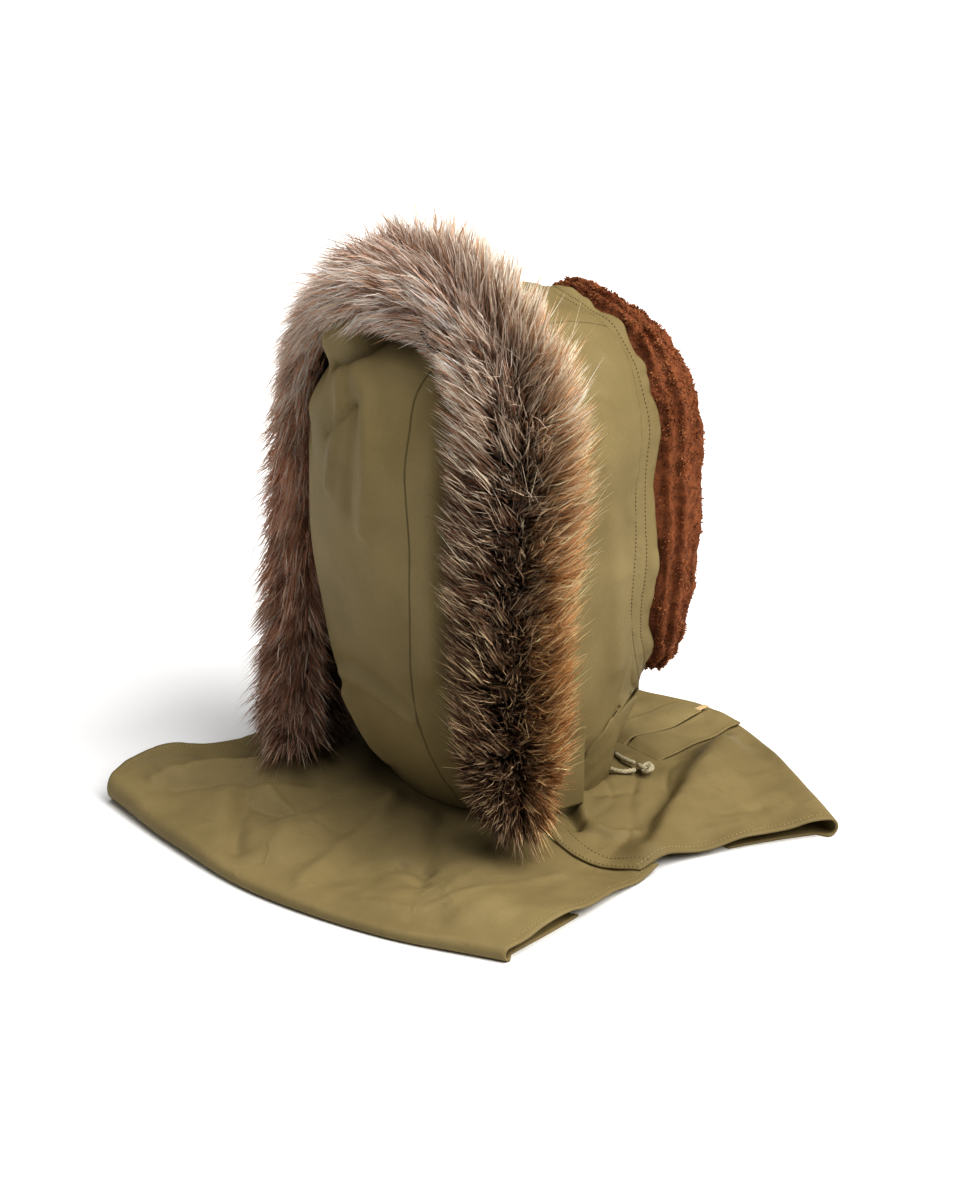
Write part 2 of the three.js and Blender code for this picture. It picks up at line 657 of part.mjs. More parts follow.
// The fur's section over its backing: across as a share of half of furWidth, out as a share of furPile.
const furSection = [
  { across: 0.4, out: 0.0 },
  { across: 0.84, out: 0.12 },
  { across: 1.0, out: 0.42 },
  { across: 0.9, out: 0.74 },
  { across: 0.6, out: 0.95 },
  { across: 0.28, out: 1.0 },
  { across: -0.05, out: 0.88 },
  { across: -0.34, out: 1.0 },
  { across: -0.66, out: 0.92 },
  { across: -0.92, out: 0.7 },
  { across: -1.0, out: 0.38 },
  { across: -0.84, out: 0.1 },
  { across: -0.4, out: 0.0 },
];
const furTaper = [0.45, 0.8, 0.94]; // of the section, at the first rings from each foot
const furStart = 0.008; // of the line's length: the first ring stands this far from each foot's end
// How far a lock stands out, from about half a depth inwards to most of a depth outwards.
const lockStep = 0.35; // neighbouring locks differ by this share at least on average
const lockMean = 0.55; // taken off, so that locks stand out about as far as they sink in
const lockAt = (i, j) => steady(i * 31 + j * 7) + ((i + j) % 2) * lockStep - lockMean;
function makeRuffFur() {
  const stations = 53;
  const base = backingThick + furGap;
  const rings = [];
  for (let i = 0; i <= stations; i++) {
    const station = mix(furStart, 1 - furStart, i / stations);
    const taper = furTaper[Math.min(i, stations - i)] ?? 1;
    const pile = furPile * smoothRead(column(ruffLine, "pile"), ruffCurve.getUtoTmapping(station));
    rings.push(
      furSection.map(({ across, out }, j) => {
        const lock = out > 0 ? lockDepth * lockAt(i, j) : 0;
        const offset = (across * (furWidth / 2) + Math.sign(across) * lock * lockSway) * taper;
        const lift = (out * pile + lock * Math.min(1, out * 2)) * taper;
        const p = ruffPoint(station, offset, base + lift);
        p.z -= Math.abs(lock) * lockDrop;
        return p;
      }),
    );
  }
  return tubeSolid(rings);
}

// Side flaps: the hood's lower side edges, which hang straight from the shell beside the ruff's feet.
function makeSideFlap(side) {
  const [columns, rows] = [6, 6];
  const back = flapSet;
  const attach = hoodBase + flapTop;
  const outer = [];
  const inner = [];
  for (let i = 0; i < rows; i++) {
    const height = mix(attach + flapSeam, hoodBase + flapClear, i / (rows - 1));
    const level = levelAt(Math.max(height, attach));
    const make = (lift) =>
      Array.from({ length: columns }, (_, j) => {
        const forward = back + (j / (columns - 1)) * flapWidth;
        const x = side * (sideOf(forward, level) + lift);
        return new THREE.Vector3(x, -forward, height);
      });
    inner.push(make(flapGap));
    outer.push(make(flapGap + flapThick));
  }
  return sheetSolid(outer, inner);
}

// The cape. Plan points hold x across and y forward; the third number is the height of the cloth's
// middle.
const planOf = ({ across, forward, high }) =>
  new THREE.Vector3(across * capeWidth, forward * capeLength, capeWall * (high - 0.5));
const planCurve = (rows) => new THREE.CatmullRomCurve3(rows.map(planOf));
const backCurve = planCurve(backFold);
const frontCurve = planCurve(frontFold);
const rightCurve = planCurve(rightHem);
const leftCurve = planCurve(leftHem);
const shoulderCurve = planCurve(shoulderEdge);

// Height of the cloth's middle at a plan point: the edge heights spread inwards, then the folds.
const edgeRows = [backFold, frontFold, rightHem, rightHemFront, leftHem, leftHemFront].flat().map(planOf);
const spreadCore = 0.0004; // keeps the weight finite at a row of the table
function spreadHeight(x, forward) {
  let [sum, weights] = [0, 0];
  edgeRows.forEach((row) => {
    const apart = ((row.x - x) ** 2 + (row.y - forward) ** 2) / capeWidth ** 2;
    const weight = 1 / (apart + spreadCore) ** 1.5;
    sum += row.z * weight;
    weights += weight;
  });
  return sum / weights;
}
function foldHeight(x, forward) {
  return capeFolds.reduce((sum, fold) => {
    const from = new THREE.Vector2(fold.from[0] * capeWidth, fold.from[1] * capeLength);
    const to = new THREE.Vector2(fold.to[0] * capeWidth, fold.to[1] * capeLength);
    const run = to.clone().sub(from);
    const here = new THREE.Vector2(x, forward).sub(from);
    const along = THREE.MathUtils.clamp(here.dot(run) / run.lengthSq(), 0, 1);
    const apart = here.addScaledVector(run, -along).length() / (fold.width * capeWidth);
    return sum + fold.height * capeWidth * Math.exp(-apart * apart);
  }, 0);
}
// How far a plan point lies outside the neck's ring.
const neckSection = hoodAt(0);
function outsideNeck(x, forward) {
  const ahead = forward - hoodShift;
  const reach = ahead > 0 ? neckSection.front : neckSection.back;
  const spread = Math.abs(x / neckSection.side) ** sectionPower + Math.abs(ahead / reach) ** sectionPower;
  const ratio = spread ** (1 / sectionPower);
  return (1 - 1 / Math.max(ratio, 0.2)) * Math.hypot(x, ahead);
}

function capeHeight(x, forward) {
  const neck = 1 - smoothStep(neckLedge, neckLedge + neckFall, outsideNeck(x, forward));
  const free = Math.max(spreadHeight(x, forward) + foldHeight(x, forward), capeWall * lowestCloth);
  return mix(free, neckHeight - capeWall / 2, neck ** neckBend);
}

// A panel of the cape between four plan curves: the fold it starts from, the two hems and the shoulder
// edge.
const foldStep = 0.06; // of the panel's run: the way out over the fold is read across this
const foldBlend = 0.2; // of the run: here the rounded fold has become the flat panel
const underInset = 0.015; // the folded layer's ends lie this far inside the panel's
const sinkRun = [0.78, 0.9]; // of the run: over this the back panel goes down under the front panel
function capePanel({ fold, right, left, shoulder, lap, sink }) {
  const [across, run, under, bend] = [20, 13, 2, 4];
  const flat = (curve, t) => curve.getPointAt(t).setZ(0);
  const shoulderPoint = (u) => flat(shoulder, u).add(new THREE.Vector3(0, lap, 0));
  const surface = (u, v) => {
    const hemShift = new THREE.Vector3(0, lap * v, 0);
    const p = flat(fold, u).multiplyScalar(1 - v).addScaledVector(shoulderPoint(u), v);
    p.addScaledVector(flat(right, v).add(hemShift), 1 - u).addScaledVector(flat(left, v).add(hemShift), u);
    p.addScaledVector(flat(fold, 0), -(1 - u) * (1 - v)).addScaledVector(flat(fold, 1), -u * (1 - v));
    return p.addScaledVector(shoulderPoint(0), -(1 - u) * v).addScaledVector(shoulderPoint(1), -u * v);
  };
  const outer = [];
  const inner = [];
  for (let k = 0; k <= across; k++) {
    const u = k / across;
    const edge = surface(u, 0);
    edge.z = capeHeight(edge.x, edge.y);
    const away = surface(u, foldStep).sub(edge).setZ(0).normalize().negate();
    const radius = edge.z / 2 - capeWall / 4;
    const centre = edge.clone().addScaledVector(away, -radius).setZ(radius + capeWall / 2);
    const row = [];
    // Under the fold the cloth lies flat on the surface.
    for (let i = under; i > 0; i--) {
      const inside = surface(mix(underInset, 1 - underInset, u), (underShare * i) / under);
      row.push({ p: inside.setZ(capeWall / 2), n: new THREE.Vector3(0, 0, -1) });
    }
    for (let i = 0; i <= bend; i++) {
      const angle = mix(-Math.PI / 2, Math.PI / 2, i / bend);
      const n = away.clone().multiplyScalar(Math.cos(angle)).setZ(Math.sin(angle));
      row.push({ p: centre.clone().addScaledVector(n, radius), n });
    }
    for (let i = 1; i <= run; i++) {
      const v = i / run;
      const start = centre.clone().lerp(surface(u, v), smoothStep(-foldStep, foldBlend, v)).setZ(0);
      const top = capeHeight(start.x, start.y) - sink * smoothStep(...sinkRun, v);
      const height = mix(edge.z, top, smoothStep(0, foldBlend, v));
      row.push({ p: start.setZ(height), n: new THREE.Vector3(0, 0, 1) });
    }
    outer.push(row.map(({ p, n }) => planToPart(p.clone().addScaledVector(n, capeWall / 2))));
    inner.push(row.map(({ p, n }) => planToPart(p.clone().addScaledVector(n, -capeWall / 2))));
  }
  return cutAway(sheetSolid(outer, inner), neckPrism());
}
const planToPart = (p) => new THREE.Vector3(p.x, -p.y, p.z);

// The hole in the cape under the hood.
function neckPrism() {
  const steps = 40;
  const shape = new THREE.Shape(
    Array.from({ length: steps }, (_, k) => {
      const p = hoodPoint(k / steps, 0);
      return new THREE.Vector2(p.x * neckHole, (p.y + hoodShift) * neckHole - hoodShift);
    }).reverse(),
  );
  const prism = new THREE.ExtrudeGeometry(shape, { depth: neckHeight * 2, bevelEnabled: false });
  prism.translate(0, 0, capeWall * 2);
  return prism;
}

// The placket: two strips of cloth along the slit in the front panel, and an end of tape between them.
// The slit runs from one plan point to another, as shares of capeWidth and capeLength.
const slitFrom = { across: -0.062, forward: 0.245 };
const slitTo = { across: 0.001, forward: 0.437 };
const slitStart = planOf({ ...slitFrom, high: 0 }).setZ(0);
const slitRun = planOf({ ...slitTo, high: 0 }).setZ(0).sub(slitStart);
const slitLength = slitRun.length();
slitRun.normalize();
const slitSide = new THREE.Vector3(slitRun.y, -slitRun.x, 0); // towards the wearer's left
// A strip on the cape: set is its near edge's distance from the slit, towards the wearer's left.
function makeStrip({ set, width, from, length, lift, thick, columns = 3, rows = 9 }) {
  const face = (extra) =>
    Array.from({ length: rows + 1 }, (_, i) =>
      Array.from({ length: columns + 1 }, (_, j) => {
        const p = slitStart.clone().addScaledVector(slitRun, from + (length * i) / rows);
        p.addScaledVector(slitSide, set + (width * j) / columns);
        return planToPart(p.setZ(capeHeight(p.x, p.y) + capeWall / 2 + lift + extra));
      }),
    );
  return sheetSolid(face(thick), face(0));
}

// Each end of the drawcord comes out of an eyelet in the throat panel, goes round the neck on the cape,
// and ends in a knot and a short tail. Across is a share of half of hoodWidth towards the cord's own
// side, forward is a share of half of hoodDepth, and lift is the height over the cape in cord diameters.
const cordRoute = [
  { across: 0.27, forward: 0.76, lift: 4.75 },
  { across: 0.304, forward: 0.74, lift: 2.5 },
  { across: 0.365, forward: 0.694, lift: 1.0 },
  { across: 0.435, forward: 0.647, lift: 0.7 },
  { across: 0.504, forward: 0.628, lift: 0.7 },
  { across: 0.574, forward: 0.64, lift: 0.7 },
  { across: 0.617, forward: 0.678, lift: 0.7 },
  { across: 0.626, forward: 0.725, lift: 0.7 },
  { across: 0.622, forward: 0.757, lift: 0.7 },
];
const knotTurns = [
  { across: 0.613, forward: 0.814, lift: 0.95 },
  { across: 0.67, forward: 0.833, lift: 1.2 },
];
const tailRoute = [
  { across: 0.551, forward: 0.798, lift: 0.85 },
  { across: 0.487, forward: 0.772, lift: 0.8 },
  { across: 0.409, forward: 0.763, lift: 0.75 },
  { across: 0.33, forward: 0.766, lift: 0.7 },
];
function routePoint({ across, forward, lift }, side) {
  const p = new THREE.Vector3(-side * across * halfWidth, forward * halfDepth, 0);
  return planToPart(p.setZ(capeHeight(p.x, p.y) + capeWall / 2 + lift * cordDiameter));
}
const eyeletHeight = hoodBase + eyeletUp;
function eyeletSeat(side) {
  const across = -side * eyeletAcross;
  const seat = new THREE.Vector3(across, -frontOf(across, eyeletHeight), eyeletHeight);
  return seat.addScaledVector(frontNormal(across, eyeletHeight), eyeletThick / 2 + eyeletGap - throatInset);
}
function makeCord(points) {
  const curve = new THREE.CatmullRomCurve3(points);
  const section = new THREE.Shape(
    Array.from({ length: cordSides }, (_, k) => {
      const angle = (k / cordSides) * 2 * Math.PI;
      return new THREE.Vector2(Math.cos(angle), Math.sin(angle)).multiplyScalar(cordDiameter / 2);
    }),
  );
  const steps = Math.max(3, Math.round(curve.getLength() / (cordStep * cordDiameter)));
  return new THREE.ExtrudeGeometry(section, { extrudePath: curve, steps, bevelEnabled: false });
}
function makeKnot(side) {
  const turns = knotTurns.map((row, k) => {
    const ring = new THREE.TorusGeometry(knotRing, cordDiameter / 2, 6, 10);
    ring.rotateX(knotTilt * (k ? 1 : -1));
    return toManifold(ring.translate(...routePoint(row, side).toArray()));
  });
  return fromManifold(turns[0].add(turns[1]));
}
function makeEyelet(side) {
  const outward = frontNormal(-side * eyeletAcross, eyeletHeight);
  const ring = new THREE.TorusGeometry(eyeletRadius, eyeletThick / 2, 6, 14);
  ring.applyQuaternion(new THREE.Quaternion().setFromUnitVectors(new THREE.Vector3(0, 0, 1), outward));
  return ring.translate(...eyeletSeat(side).toArray());
}

const assembly = new THREE.Group();
function addPiece(name, geometry, colour, roughness = 0.85) {
  const material = new THREE.MeshStandardMaterial({ color: colour, roughness, metalness: 0 });
  const mesh = new THREE.Mesh(geometry, material);
  mesh.name = name;
  assembly.add(mesh);
  return mesh;
}

const olive = 0x5f5632;
const shearling = 0x7a3f20;
const furBrown = 0x6b4a35;
const cordGrey = 0x8d8468;
const tapeBeige = 0xb9a27c;
const backwards = (rows) => new THREE.CatmullRomCurve3(rows.map(planOf).reverse());
addPiece("hood_shell", makeHoodShell(), olive);
addPiece("throat_panel", makeThroatPanel(), olive);
addPiece("face_band", makeFaceBand(), olive);
addPiece("face_roll", makeFaceRoll(), shearling, 0.95);
addPiece("ruff_backing", makeRuffBacking(), olive);
addPiece("ruff_fur", makeRuffFur(), furBrown, 0.9);
addPiece("side_flap_right", makeSideFlap(-1), olive);
addPiece("side_flap_left", makeSideFlap(1), olive);
addPiece(
  "back_cape",
  capePanel({
    fold: backCurve,
    right: rightCurve,
    left: leftCurve,
    shoulder: shoulderCurve,
    lap: shoulderLap,
    sink: capeWall + lapGap,
  }),
  olive,
);
addPiece(
  "front_cape",
  capePanel({
    fold: frontCurve,
    right: backwards(rightHemFront),
    left: backwards(leftHemFront),
    shoulder: shoulderCurve,
    lap: 0,
    sink: 0,
  }),
  olive,
);
addPiece(
  "placket_strip",
  makeStrip({
    set: -placketWidth - slitWidth / 2,
    width: placketWidth,
    from: 0,
    length: placketLength,
    lift: stripGap,
    thick: placketThick,
  }),
  olive,
);
addPiece(
  "placket_underlap",
  makeStrip({
    set: slitWidth / 2,
    width: underlapWidth,
    from: 0,
    length: placketLength * 0.94,
    lift: underlapGap,
    thick: placketThick,
  }),
  olive,
);
addPiece(
  "tape_end",
  makeStrip({
    set: slitWidth / 2 + 1,
    width: tapeWidth,
    from: placketLength * 0.92,
    length: tapeLength,
    lift: underlapGap + placketThick + seamGap,
    thick: tapeThick,
    columns: 1,
    rows: 2,
  }),
  tapeBeige,
);
for (const [name, side] of [["right", 1], ["left", -1]]) {
  addPiece(`cord_eyelet_${name}`, makeEyelet(side), olive);
  const route = cordRoute.map((row) => routePoint(row, side));
  addPiece(`drawcord_${name}`, makeCord([eyeletSeat(side), ...route]), cordGrey);
  addPiece(`drawcord_knot_${name}`, makeKnot(side), cordGrey);
  addPiece(`drawcord_tail_${name}`, makeCord(tailRoute.map((row) => routePoint(row, side))), cordGrey);
}

// The part's origin is under the middle of its whole box.
const box = new THREE.Box3().setFromObject(assembly);
assembly.position.set(-(box.min.x + box.max.x) / 2, -(box.min.y + box.max.y) / 2, -box.min.z);

export default assembly;
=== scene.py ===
"""Looks of a detachable cloth hood with a shearling face roll, a long-haired ruff and a wide cape.

Shapes are worked out in millimetres in the neck's frame, as the part's source has them: +Z up, the face
opening looks along -Y, and the neck's centre is at x = 0 and y = 0. Meshes are written in metres in the
part's frame.
"""

import math

import bpy
import numpy as np
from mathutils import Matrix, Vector


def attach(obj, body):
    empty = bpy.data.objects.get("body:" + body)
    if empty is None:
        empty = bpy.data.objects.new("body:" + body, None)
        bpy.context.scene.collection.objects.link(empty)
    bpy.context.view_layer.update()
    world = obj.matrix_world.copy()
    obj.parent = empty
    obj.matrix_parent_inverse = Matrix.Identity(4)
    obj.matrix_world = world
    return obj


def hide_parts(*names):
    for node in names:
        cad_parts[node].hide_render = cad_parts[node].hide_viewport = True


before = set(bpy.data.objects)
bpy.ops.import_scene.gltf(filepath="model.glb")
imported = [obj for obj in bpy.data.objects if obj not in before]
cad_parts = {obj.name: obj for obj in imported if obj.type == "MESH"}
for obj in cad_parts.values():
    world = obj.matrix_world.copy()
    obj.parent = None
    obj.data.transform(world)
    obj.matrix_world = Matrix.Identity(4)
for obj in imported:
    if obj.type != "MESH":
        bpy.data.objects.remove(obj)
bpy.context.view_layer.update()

MM = 0.001
NECK = np.array([24.7, -13.4, 0.0])  # the neck's centre in the part's frame

# Driving dimensions, as in the part's source.
HOOD_WIDTH = 230
HOOD_DEPTH = 258
HOOD_RISE = 367
HOOD_WALL = 2
HOOD_BASE = 19.4
BROW_DROP = 11
THROAT_HEIGHT = 69
THROAT_INSET = 6
SIDE_MARGIN = 19
WIDEST_SHARE = 0.55
BAND_SIDE = 11
BAND_BROW = 5
BAND_THROAT = 14
BAND_GATHER = 3.4
ROLL_WIDTH = 44
ROLL_TOP_SHARE = 0.72
ROLL_THROAT_SHARE = 0.5
ROLL_THICK = 29
ROLL_GAP = 3.2
FACING_DEPTH = 22
FACING_THICK = 10
FACING_GAP = 2.2
BACKING_WIDTH = 42
BACKING_THICK = 2.4
FUR_WIDTH = 94
FUR_PILE = 44
RUFF_SINK = 1.7
CAPE_WIDTH = 440
CAPE_LENGTH = 480
CAPE_WALL = 1.8
NECK_HEIGHT = 19
NECK_LEDGE = 9
NECK_FALL = 74
NECK_BEND = 0.8
NECK_HOLE = 0.85
SECTION_POWER = 2.4
HOOD_SHIFT = 10
BROW_POWER = 2.5
THROAT_POWER = 3
HALF_WIDTH = HOOD_WIDTH / 2
HALF_DEPTH = HOOD_DEPTH / 2
CROWN = HOOD_BASE + HOOD_RISE
OPENING_TOP = CROWN - BROW_DROP
OPENING_BOTTOM = HOOD_BASE + THROAT_HEIGHT
OPENING_MIDDLE = OPENING_BOTTOM + (OPENING_TOP - OPENING_BOTTOM) * WIDEST_SHARE

# The share of the strands that are made; below 1 there are fewer.
STRAND_SHARE = 1.0


# Numbers and curves.
def mix(a, b, share):
    return a + (b - a) * share


def smooth_step(low, high, x):
    share = np.clip((x - low) / (high - low), 0, 1)
    return share * share * (3 - 2 * share)


def hermite(low, high, start, end, f):
    """A curve from low to high that leaves with one slope and arrives with another."""
    f2 = f * f
    f3 = f * f2
    bend = start * (f3 - 2 * f2 + f) + end * (f3 - f2)
    return low * (2 * f3 - 3 * f2 + 1) + high * (3 * f2 - 2 * f3) + bend


def smooth_read(values, t):
    """Reads a column of numbers smoothly: t runs from 0 to 1 over equally spaced rows."""
    values = np.asarray(values, float)
    steps = np.diff(values)
    slopes = np.empty(len(values))
    slopes[0] = steps[0]
    slopes[-1] = steps[-1]
    before = steps[:-1]
    after = steps[1:]
    same = before * after > 0
    slopes[1:-1] = np.where(same, 2 * before * after / np.where(same, before + after, 1), 0)
    place = np.clip(t, 0, 1) * (len(values) - 1)
    i = np.minimum(place.astype(int), len(values) - 2)
    return hermite(values[i], values[i + 1], slopes[i], slopes[i + 1], place - i)


def power(x, n):
    return np.sign(x) * np.abs(x) ** n


def unit(v):
    return v / np.maximum(np.linalg.norm(v, axis=-1, keepdims=True), 1e-9)


def bell(x, middle, spread):
    """1 at the middle, falling softly to 0 over the spread."""
    return np.exp(-(((x - middle) / spread) ** 2))


def run_lengths(points):
    """How far along a line each of its points lies."""
    return np.concatenate([[0], np.cumsum(np.linalg.norm(np.diff(points, axis=0), axis=1))])


def read_rows(at, places, rows):
    """Reads rows of three numbers between their places."""
    return np.stack([np.interp(at, places, rows[:, k]) for k in range(3)], -1)


class Route:
    """A smooth curve through points, read by its share of length."""

    def __init__(self, points, samples=600):
        p = np.asarray(points, float)
        p = np.vstack([2 * p[0] - p[1], p, 2 * p[-1] - p[-2]])
        spans = len(p) - 3
        raw = np.linspace(0, spans, samples + 1)
        i = np.minimum(raw.astype(int), spans - 1)
        f = (raw - i)[:, None]
        a, b, c, d = p[i], p[i + 1], p[i + 2], p[i + 3]
        legs = (b - a, c - b, d - c)
        before, here, after = (np.linalg.norm(leg, axis=1, keepdims=True) ** 0.5 for leg in legs)
        start = here * ((b - a) / before - (c - a) / (before + here) + (c - b) / here)
        end = here * ((c - b) / here - (d - b) / (here + after) + (d - c) / after)
        self.points = hermite(b, c, start, end, f)
        lengths = run_lengths(self.points)
        self.length = lengths[-1]
        self.shares = lengths / self.length
        self.raw = raw / spans

    def at(self, share):
        return read_rows(share, self.shares, self.points)

    def along(self, share, step=0.004):
        return unit(self.at(np.clip(share + step, 0, 1)) - self.at(np.clip(share - step, 0, 1)))

    def row_share(self, share):
        """The share of the way through the curve's first points, for a share of its length."""
        return np.interp(share, self.shares, self.raw)


RIPPLE_WAVES = 9


def ripple(points, length, seed, stretch=(1, 1, 1)):
    """Soft waves of about one length in millimetres, about -1 to 1."""
    draw = np.random.default_rng(seed)
    total = 0
    for _ in range(RIPPLE_WAVES):
        direction = unit(draw.normal(size=3)) / np.array(stretch)
        turns = 2 * math.pi / (length * draw.uniform(0.7, 1.45))
        total = total + np.sin(points @ direction * turns + draw.uniform(0, 2 * math.pi))
    return total / math.sqrt(RIPPLE_WAVES)


def waves(points, layers):
    """Soft waves of several kinds. Each has a height, then its length, its seed and how it is stretched."""
    return sum(height * ripple(points, *kind) for height, *kind in layers)


def crumple(points, length, seed):
    """Sharp little creases in patches, 0 to about 1."""
    patch = smooth_step(0.1, 1.1, ripple(points, length * 3, seed + 100))
    return patch * bell(ripple(points, length, seed), 0, 0.22)


def near_line(points, line, width):
    """1 on a line through points, falling softly to 0 over a width."""
    best = np.full(points.shape[:-1], np.inf)
    for a, b in zip(line[:-1], line[1:]):
        a = np.array(a, float)
        run = np.array(b, float) - a
        share = np.clip(((points - a) @ run) / (run @ run), 0, 1)
        best = np.minimum(best, np.linalg.norm(points - (a + share[..., None] * run), axis=-1))
    return bell(best, 0, width)


def folds(points, table):
    """Folds along lines. Each has its line, its width and its height."""
    return sum(height * near_line(points, line, width) for line, width, height in table)


# Meshes.
def add_mesh(name, points, faces, material, tint=None, seam=None):
    """A smooth piece. Each array of faces has one row a face, with the numbers of its corners."""
    mesh = bpy.data.meshes.new(name)
    points = (np.asarray(points, float).reshape(-1, 3) + NECK) * MM
    corners = np.concatenate([part.ravel() for part in faces])
    sizes = np.concatenate([np.full(len(part), part.shape[1]) for part in faces])
    mesh.vertices.add(len(points))
    mesh.vertices.foreach_set("co", points.ravel())
    mesh.loops.add(len(corners))
    mesh.loops.foreach_set("vertex_index", corners.astype(np.int32))
    mesh.polygons.add(len(sizes))
    mesh.polygons.foreach_set("loop_start", (np.cumsum(sizes) - sizes).astype(np.int32))
    mesh.polygons.foreach_set("use_smooth", np.ones(len(sizes), bool))
    mesh.update(calc_edges=True)
    mesh.validate()
    if tint is not None:
        layer = mesh.color_attributes.new("tint", "FLOAT_COLOR", "POINT")
        layer.data.foreach_set("color", np.column_stack([tint, np.ones(len(points))]).ravel())
    if seam is not None:
        layer = mesh.attributes.new("seam", "FLOAT", "POINT")
        layer.data.foreach_set("value", seam)
    mesh.materials.append(material)
    piece = bpy.data.objects.new(name, mesh)
    bpy.context.scene.collection.objects.link(piece)
    return piece


def grid_faces(rows, columns, close_rows=False, close_columns=False, keep=None):
    """Corner numbers of a grid's squares, rows first."""
    i, j = np.indices((rows if close_rows else rows - 1, columns if close_columns else columns - 1))
    if keep is not None:
        i, j = i[keep], j[keep]
    below = (i + 1) % rows
    beside = (j + 1) % columns
    corners = (i * columns + j, i * columns + beside, below * columns + beside, below * columns + j)
    return np.stack(corners, -1).reshape(-1, 4)


def add_grid(name, grid, material, close_rows=False, close_columns=False, keep=None, flip=False):
    quads = grid_faces(*grid.shape[:2], close_rows, close_columns, keep)
    return add_mesh(name, grid, [quads[:, ::-1] if flip else quads], material)


def add_skin(name, rings, tips, material, flip=False):
    """A closed skin over rings of points, drawn in to a tip at each end."""
    count, sides = rings.shape[:2]
    here = np.arange(sides)
    beside = (here + 1) % sides
    last = (count - 1) * sides
    first_fan = np.stack([beside, here, np.full(sides, count * sides)], -1)
    last_fan = np.stack([last + here, last + beside, np.full(sides, count * sides + 1)], -1)
    faces = [grid_faces(count, sides, close_columns=True), first_fan, last_fan]
    if flip:
        faces = [part[:, ::-1] for part in faces]
    return add_mesh(name, np.vstack([rings.reshape(-1, 3), *tips]), faces, material)


def select_only(piece):
    bpy.context.view_layer.objects.active = piece
    bpy.ops.object.select_all(action="DESELECT")
    piece.select_set(True)


def remove_loose(piece):
    """Takes away the points that no face uses."""
    select_only(piece)
    bpy.ops.object.mode_set(mode="EDIT")
    bpy.ops.mesh.select_all(action="SELECT")
    bpy.ops.mesh.delete_loose()
    bpy.ops.object.mode_set(mode="OBJECT")


def thicken(piece, wall, side=-1.0):
    """Gives a sheet a real thickness. Side -1 keeps its face, 0 keeps its middle."""
    modifier = piece.modifiers.new("wall", "SOLIDIFY")
    modifier.thickness = wall * MM
    modifier.offset = side
    modifier.use_even_offset = False
    modifier.use_quality_normals = True
    select_only(piece)
    bpy.ops.object.modifier_apply(modifier=modifier.name)
    return piece


def step_round(values):
    """The change from column to column of a grid whose columns close in a ring."""
    return (np.roll(values, -1, 1) - np.roll(values, 1, 1)) / 2


def grid_normals(grid):
    """Outward directions of a grid whose columns close in a ring."""
    normal = unit(np.cross(step_round(grid), np.gradient(grid, axis=0)))
    outward = grid - grid.mean(axis=1, keepdims=True)
    return normal * np.sign((normal * outward).sum())


CORD_LOBES = 3
TUBE_SIDE = (0.3, 0.2, 1.0)  # a direction that no tube starts along


def tube(name, points, radius, material, sides=12, twist=0.0, lobe_depth=0.0):
    """A tube along points, with a twisted lobed section where it is a cord."""
    points = np.asarray(points, float)
    along = unit(np.gradient(points, axis=0))
    side = np.cross(along[0], TUBE_SIDE)
    angles = np.arange(sides) / sides * 2 * math.pi
    rings = []
    for p, tangent, travelled in zip(points, along, run_lengths(points)):
        side = unit(side - tangent * (side @ tangent))
        other = np.cross(tangent, side)
        lobe = np.abs(np.cos(CORD_LOBES * angles / 2 + travelled * twist))
        reach = radius * (1 - lobe_depth + lobe_depth * lobe)
        rings.append(p + np.outer(np.cos(angles) * reach, side) + np.outer(np.sin(angles) * reach, other))
    return add_skin(name, np.array(rings), (points[0], points[-1]), material, flip=True)


STITCH_PITCH = 3.2
STITCH_LENGTH = 0.66 * STITCH_PITCH
STITCH_RADIUS = 0.36
STITCH_SINK = 0.25 * STITCH_RADIUS


def stitches(name, points, normals, material):
    """A row of thread stitches along points on a surface."""
    lengths = run_lengths(points)
    count = int(lengths[-1] / STITCH_PITCH)
    starts = np.arange(count) * STITCH_PITCH
    a = read_rows(starts, lengths, points)
    b = read_rows(starts + STITCH_LENGTH, lengths, points)
    up = unit(read_rows(starts, lengths, normals))
    side = unit(np.cross(b - a, up)) * STITCH_RADIUS
    middle = (a + b) / 2
    ridge = middle + up * (2 * STITCH_RADIUS - STITCH_SINK)
    corners = [a - up * STITCH_RADIUS, middle + side, ridge, middle - side, middle - up * STITCH_SINK,
               b - up * STITCH_RADIUS]
    round_start = [[0, 1, 2], [0, 2, 3], [0, 3, 4], [0, 4, 1]]
    round_end = [[5, 2, 1], [5, 3, 2], [5, 4, 3], [5, 1, 4]]
    pattern = np.array(round_start + round_end)
    faces = (pattern[None] + np.arange(count)[:, None, None] * len(corners)).reshape(-1, 3)
    return add_mesh(name, np.stack(corners, 1), [faces], material)


def strands(levels, width, side, tint):
    """Tapered hairs: levels holds the points of each hair from root to tip, and tint a colour for each."""
    last = len(levels) - 1
    rows = []
    colours = []
    for k in range(last):
        share = 0.7 + 0.45 * k / (last - 1)
        offset = side * (width * share / 2)[:, None]
        rows += [levels[k] - offset, levels[k] + offset]
        colours += [tint[k], tint[k]]
    rows.append(levels[last])
    colours.append(tint[last])
    first = np.arange(len(levels[0]))[:, None] * len(rows)
    quads = np.vstack([first + [2 * k, 2 * k + 1, 2 * k + 3, 2 * k + 2] for k in range(last - 1)])
    tips = first + [2 * last - 2, 2 * last - 1, 2 * last]
    return np.stack(rows, 1).reshape(-1, 3), np.stack(colours, 1).reshape(-1, 3), quads, tips


